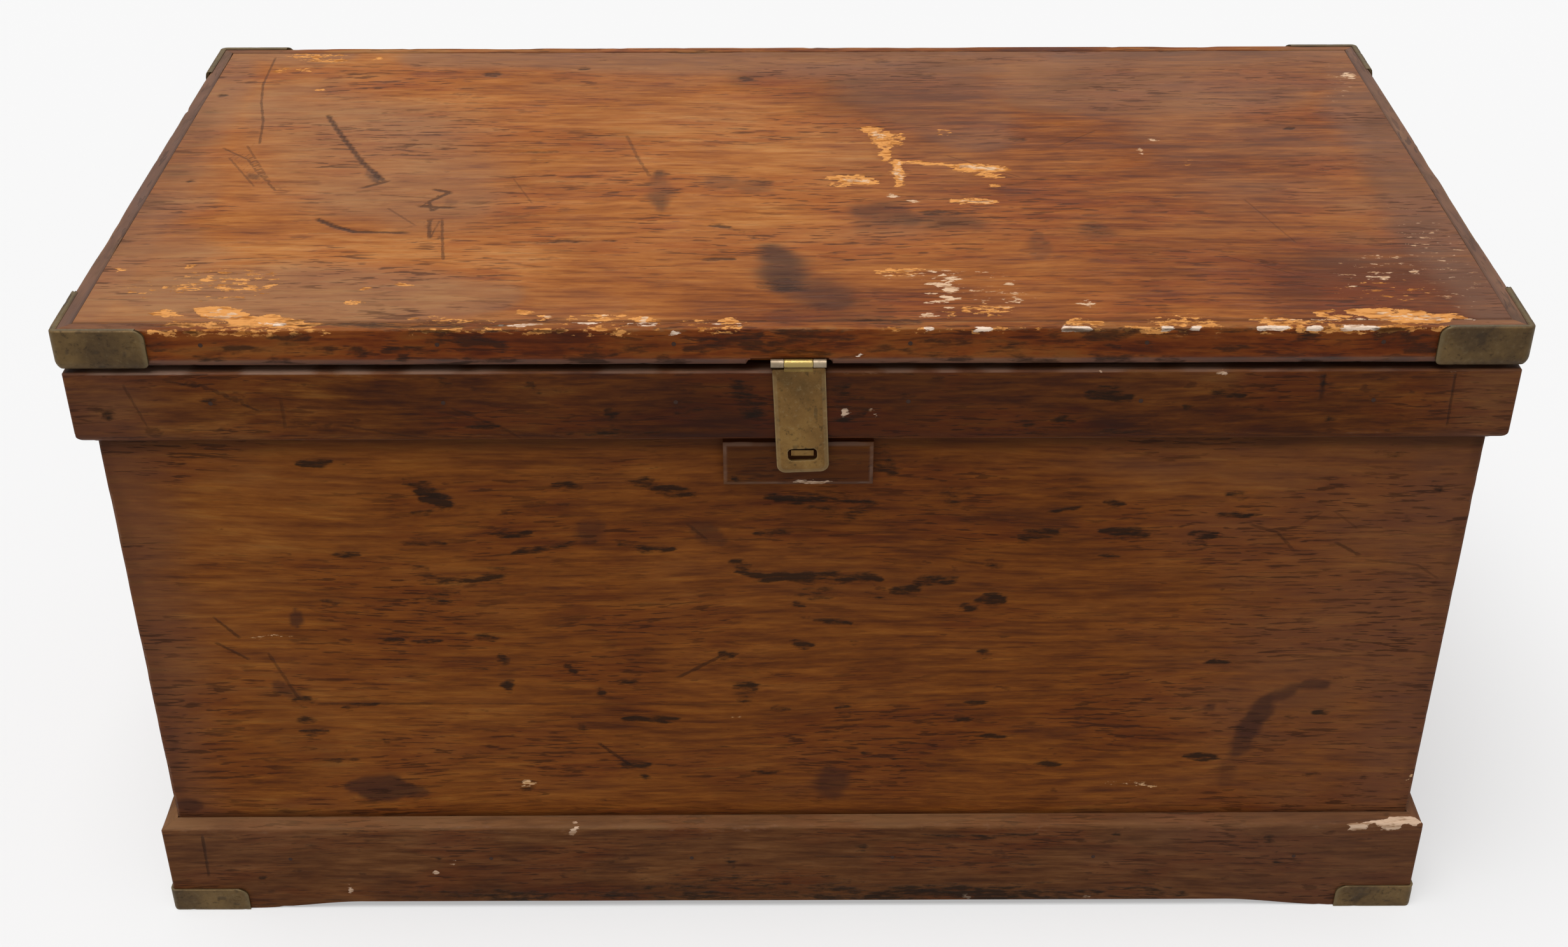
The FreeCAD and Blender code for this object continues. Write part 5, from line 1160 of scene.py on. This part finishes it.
BOX_LOOK = {
    "tones": ("#431F0C", "#623211", "#824716", "#9D5C20", "#B67530"), "cloud": .7, "blotch": .45,
    "band": .45, "streak": 1.05, "thread": .8, "ring": 6.0, "check": .552, "ding": .18,
    "inside": "box", "bump": .8,
    "rough": (.52, .68), "shine": .10, "layers": {
        "red": (.27, "#70300F"), "threads": (.18, "#3A1A0A"), "ashen": (.50, "#644436"),
        # The grime colour is dirt, and painted shade under the band, above the plinth's ledge, on the band's
        # bevel and on its top face in the lid's gap; #85603F is a painted highlight on the plinth's top edge
        # and ledge; #967866 is a painted highlight on the band's top arris, and a pale line on its bevel
        # edge and round the lock block's bevel.
        "haze": (.70, "#261618"), "grime": (.60, "#251106"), "checks": (.64, "#220E04"),
        "dings": (.50, "#2C1409"), "ledge": (.55, "#85603F"), "wear": (.42, "#846048"),
        "round": (.62, "#967866"), "bare": (.95, ("#F3C494", "#C8935C")),
        "white": (.90, ("#E8C6A8", "#A98262")), "dark": (.88, "#150C05"), "line": (.72, "#1C0C05")}}
SIDE_LOOK = dict(BOX_LOOK, ding=.13)
BAND_LOOK = dict(BOX_LOOK, tones=("#33160B", "#4B250D", "#633411", "#7B4719", "#955F28"), ding=.13,
                 cloud=1.3, blotch=.8, streak=1.5)
PLINTH_LOOK = dict(BOX_LOOK, tones=("#3D1F0E", "#542F15", "#6A4020", "#7E512C", "#91623B"), ding=.14,
                   streak=1.45, blotch=.6)
BARE_LOOK = dict(BOX_LOOK, inside="all", rough=(.70, .82))
BRASS_LOOK = {"tones": ("#402F1A", "#5A4424", "#6F5732"), "spot": "#281D12", "worn": "#6E5F42",
              "rough": (.45, .65), "metal": .65}
HASP_LOOK = {"tones": ("#58401C", "#704F23", "#856533"), "spot": "#3F3016", "worn": "#8E7B58",
             "rough": (.40, .58), "metal": .7}
KNUCKLE_LOOK = {"tones": ("#624B20", "#735A28", "#856B35"), "spot": "#4F3C1A", "worn": "#AE965A",
                "rough": (.30, .45), "metal": .8}
LEAF_LOOK = {"tones": ("#7C6A54", "#94826A", "#A99880"), "spot": "#4F4232", "worn": "#BBAA92",
             "rough": (.36, .5), "metal": .7}

materials = {name: pine(name, along, look, seed) for name, along, look, seed in (
    ("varnished_pine_lid", "X", LID_LOOK, 2.0), ("varnished_pine_lid_strip_long", "X", STRIP_LOOK, 5.0),
    ("varnished_pine_lid_strip_short", "Y", STRIP_LOOK, 6.0),
    ("varnished_pine_box_long", "X", BOX_LOOK, 11.0), ("varnished_pine_band_long", "X", BAND_LOOK, 17.0),
    ("varnished_pine_band_short", "Y", BAND_LOOK, 18.0),
    ("varnished_pine_plinth_long", "X", PLINTH_LOOK, 27.0),
    ("varnished_pine_plinth_short", "Y", PLINTH_LOOK, 28.0), ("varnished_pine_back", "X", SIDE_LOOK, 31.0),
    ("varnished_pine_end", "Y", SIDE_LOOK, 14.0), ("bare_pine_long", "X", BARE_LOOK, 21.0),
    ("bare_pine_short", "Y", BARE_LOOK, 23.0))}
for name, look, seed in (
        ("tarnished_sheet_brass", BRASS_LOOK, 1.0), ("handled_sheet_brass", HASP_LOOK, 2.0),
        ("rubbed_brass", KNUCKLE_LOOK, 3.0), ("paled_sheet_brass", LEAF_LOOK, 4.0)):
    materials[name] = brass(name, look, seed)
materials["rusted_iron"] = iron("rusted_iron")


# ---- put the pieces together --------------------------------------------------------------------
def finish_piece(made, material, body, replaced):
    """Gives a piece its material, the body it moves with and what it stands for."""
    made.data.materials.clear()
    made.data.materials.append(materials[material])
    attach(made, body)
    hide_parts(replaced)


finish_piece(lid_panel(), "varnished_pine_lid", "lid", "lid_board")
finish_piece(front_face(), "varnished_pine_box_long", "chest", "front_board")
finish_piece(front_core(), "varnished_pine_box_long", "chest", "front_board")
finish_piece(lock_block(), "varnished_pine_box_long", "chest", "lock_block")
for k, side in enumerate(("front", "back", "left", "right")):
    notch = MORTISE if side == "front" else None
    for kind, outline, thickness, seed, marks_at, body, slot, more in (
            ("lid_strip", strip_outline(), STRIP, 71, strip_marks, "lid", "lid_pine",
             {"sunk": .15, "notch": notch}),
            ("band", band_outline(), MOULD, 81, band_marks, "chest", "box_pine", {}),
            ("plinth", plinth_outline(), MOULD, 91, plinth_marks, "chest", "box_pine", {"foot": True})):
        node = "%s_%s" % (kind, side)
        made = moulding(node + "_worn", side, outline, thickness, seed + k, marks_at, **more)
        material = "varnished_pine_%s_%s" % (kind, "long" if side in LONG_SIDES else "short")
        finish_piece(made, material, body, node)
for k, (place, sx, sy) in enumerate((("front_left", -1, -1), ("front_right", 1, -1), ("back_left", -1, 1),
                                     ("back_right", 1, 1))):
    made = strap("lid_strap_" + place, sx, sy, strap_section(), wing=62.0, thick=2.5, low=strap_low[2],
                 high=strap_high[2], radius=6.0, round_low=True, seed=101 + k)
    finish_piece(made, "tarnished_sheet_brass", "lid", "lid_corner_" + place)
    made = strap("foot_shoe_" + place, sx, sy, shoe_section(), wing=60.0, thick=2.0, low=0.0, high=SHOE_TOP,
                 radius=7.0, round_low=False, seed=111 + k)
    finish_piece(made, "tarnished_sheet_brass", "chest", "shoe_" + place)
finish_piece(hasp_plate(), "handled_sheet_brass", "hasp", "hasp_plate")
finish_piece(hasp_knuckle(), "rubbed_brass", "hasp", "hasp_plate")

for material, kept in {
        "varnished_pine_back": "back_board", "varnished_pine_end": "left_end_board right_end_board",
        "bare_pine_long": "bottom_board_front bottom_board_middle bottom_board_back plinth_corner_blocks",
        "bare_pine_short": "lid_batten_left lid_batten_right", "paled_sheet_brass": "hasp_lid_leaf",
        "tarnished_sheet_brass": "batten_screws lid_corner_screws shoe_screws hasp_leaf_screws "
                                 "hinge_left_lid_leaf hinge_left_box_leaf hinge_left_pin "
                                 "hinge_right_lid_leaf hinge_right_box_leaf hinge_right_pin "
                                 "hinge_lid_screws hinge_box_screws handle_screws",
        "handled_sheet_brass": "hasp_pin hasp_staple handle_left_plate handle_left_bail handle_right_plate "
                               "handle_right_bail",
        "rusted_iron": "moulding_brads lid_strip_brads"}.items():
    for node in kept.split():
        for slot in nodes[node].material_slots:
            slot.material = materials[material]

# ---- floor, light and camera ------------------------------------------------------------------
# the floor is a flat sheet of pale paper, 24 m across, just under the chest
across, deep = np.meshgrid(np.linspace(-12000, 12000, 41), np.linspace(-12000, 12000, 81), indexing="ij")
floor = sheet("paper_floor", np.stack([across, deep, -.05 + 0 * across], -1), close_v=False, caps=False)
paper, paper_tree, paper_shader, _ = new_material("white_paper")
finish_surface(paper_tree, paper_shader, {}, {
    "Base Color": colour("#C2C2C2"), "Roughness": .9, "Specular IOR Level": .1,
    "Emission Color": (1.0, 1.0, 1.0, 1.0)})
floor.data.materials.append(paper)

world = bpy.data.worlds.new("studio")
scene.world = world
world.use_nodes = True
world.node_tree.nodes.clear()
sky = add(world.node_tree, "ShaderNodeBackground", {"Color": (1.0, 1.0, 1.0, 1.0)})
add(world.node_tree, "ShaderNodeOutputWorld", {"Surface": sky})

# both are lifted to white where they are seen, straight or in the brass: by how much, and the
# strength they have for the light that falls on the chest
for tree, strength, lift, least in ((paper_tree, paper_shader.inputs["Emission Strength"], .40, 0.0),
                                    (world.node_tree, sky.inputs["Strength"], .71, .25)):
    rays = add(tree, "ShaderNodeLightPath")
    seen = rays.outputs["Is Camera Ray"]
    for other in ("Is Glossy Ray", "Is Transmission Ray"):
        seen = add(tree, "ShaderNodeMath", {0: seen, 1: rays.outputs[other]}, operation="MAXIMUM")
    level = add(tree, "ShaderNodeMath", {0: seen, 1: lift, 2: least}, operation="MULTIPLY_ADD")
    tree.links.new(level.outputs[0], strength)

# one broad, soft light from far off, tilted from overhead and turned about the vertical
light = bpy.data.lights.new("overhead", "SUN")
light.energy = 2.4
light.angle = math.radians(45)
overhead = bpy.data.objects.new("overhead", light)
overhead.rotation_euler = (math.radians(14), 0, math.radians(-35))
scene.collection.objects.link(overhead)

# the camera's place in metres, its angles in degrees, and its focal length and frame in pixels
CAMERA_AT = (-.0063, -1.4360, 1.1588)
PITCH, YAW, ROLL = (math.radians(angle) for angle in (32.62, .04, -.15))
FOCAL, FRAME_WIDE, SENSOR = 3264.0, 2464.0, 36.0
view = bpy.data.cameras.new("view")
view.sensor_fit = "HORIZONTAL"
view.sensor_width = SENSOR
view.lens = FOCAL / FRAME_WIDE * SENSOR
camera = bpy.data.objects.new("view", view)
forward = np.array([math.sin(YAW) * math.cos(PITCH), math.cos(YAW) * math.cos(PITCH), -math.sin(PITCH)])
right = np.cross(forward, [0, 0, 1])
right /= np.linalg.norm(right)
up = np.cross(right, forward)
right, up = math.cos(ROLL) * right + math.sin(ROLL) * up, -math.sin(ROLL) * right + math.cos(ROLL) * up
placed = np.eye(4)
placed[:3] = np.stack([right, up, -forward, CAMERA_AT], -1)
camera.matrix_world = Matrix(placed.tolist())
scene.collection.objects.link(camera)
scene.camera = camera
scene.view_settings.view_transform = "Standard"

bpy.context.view_layer.update()
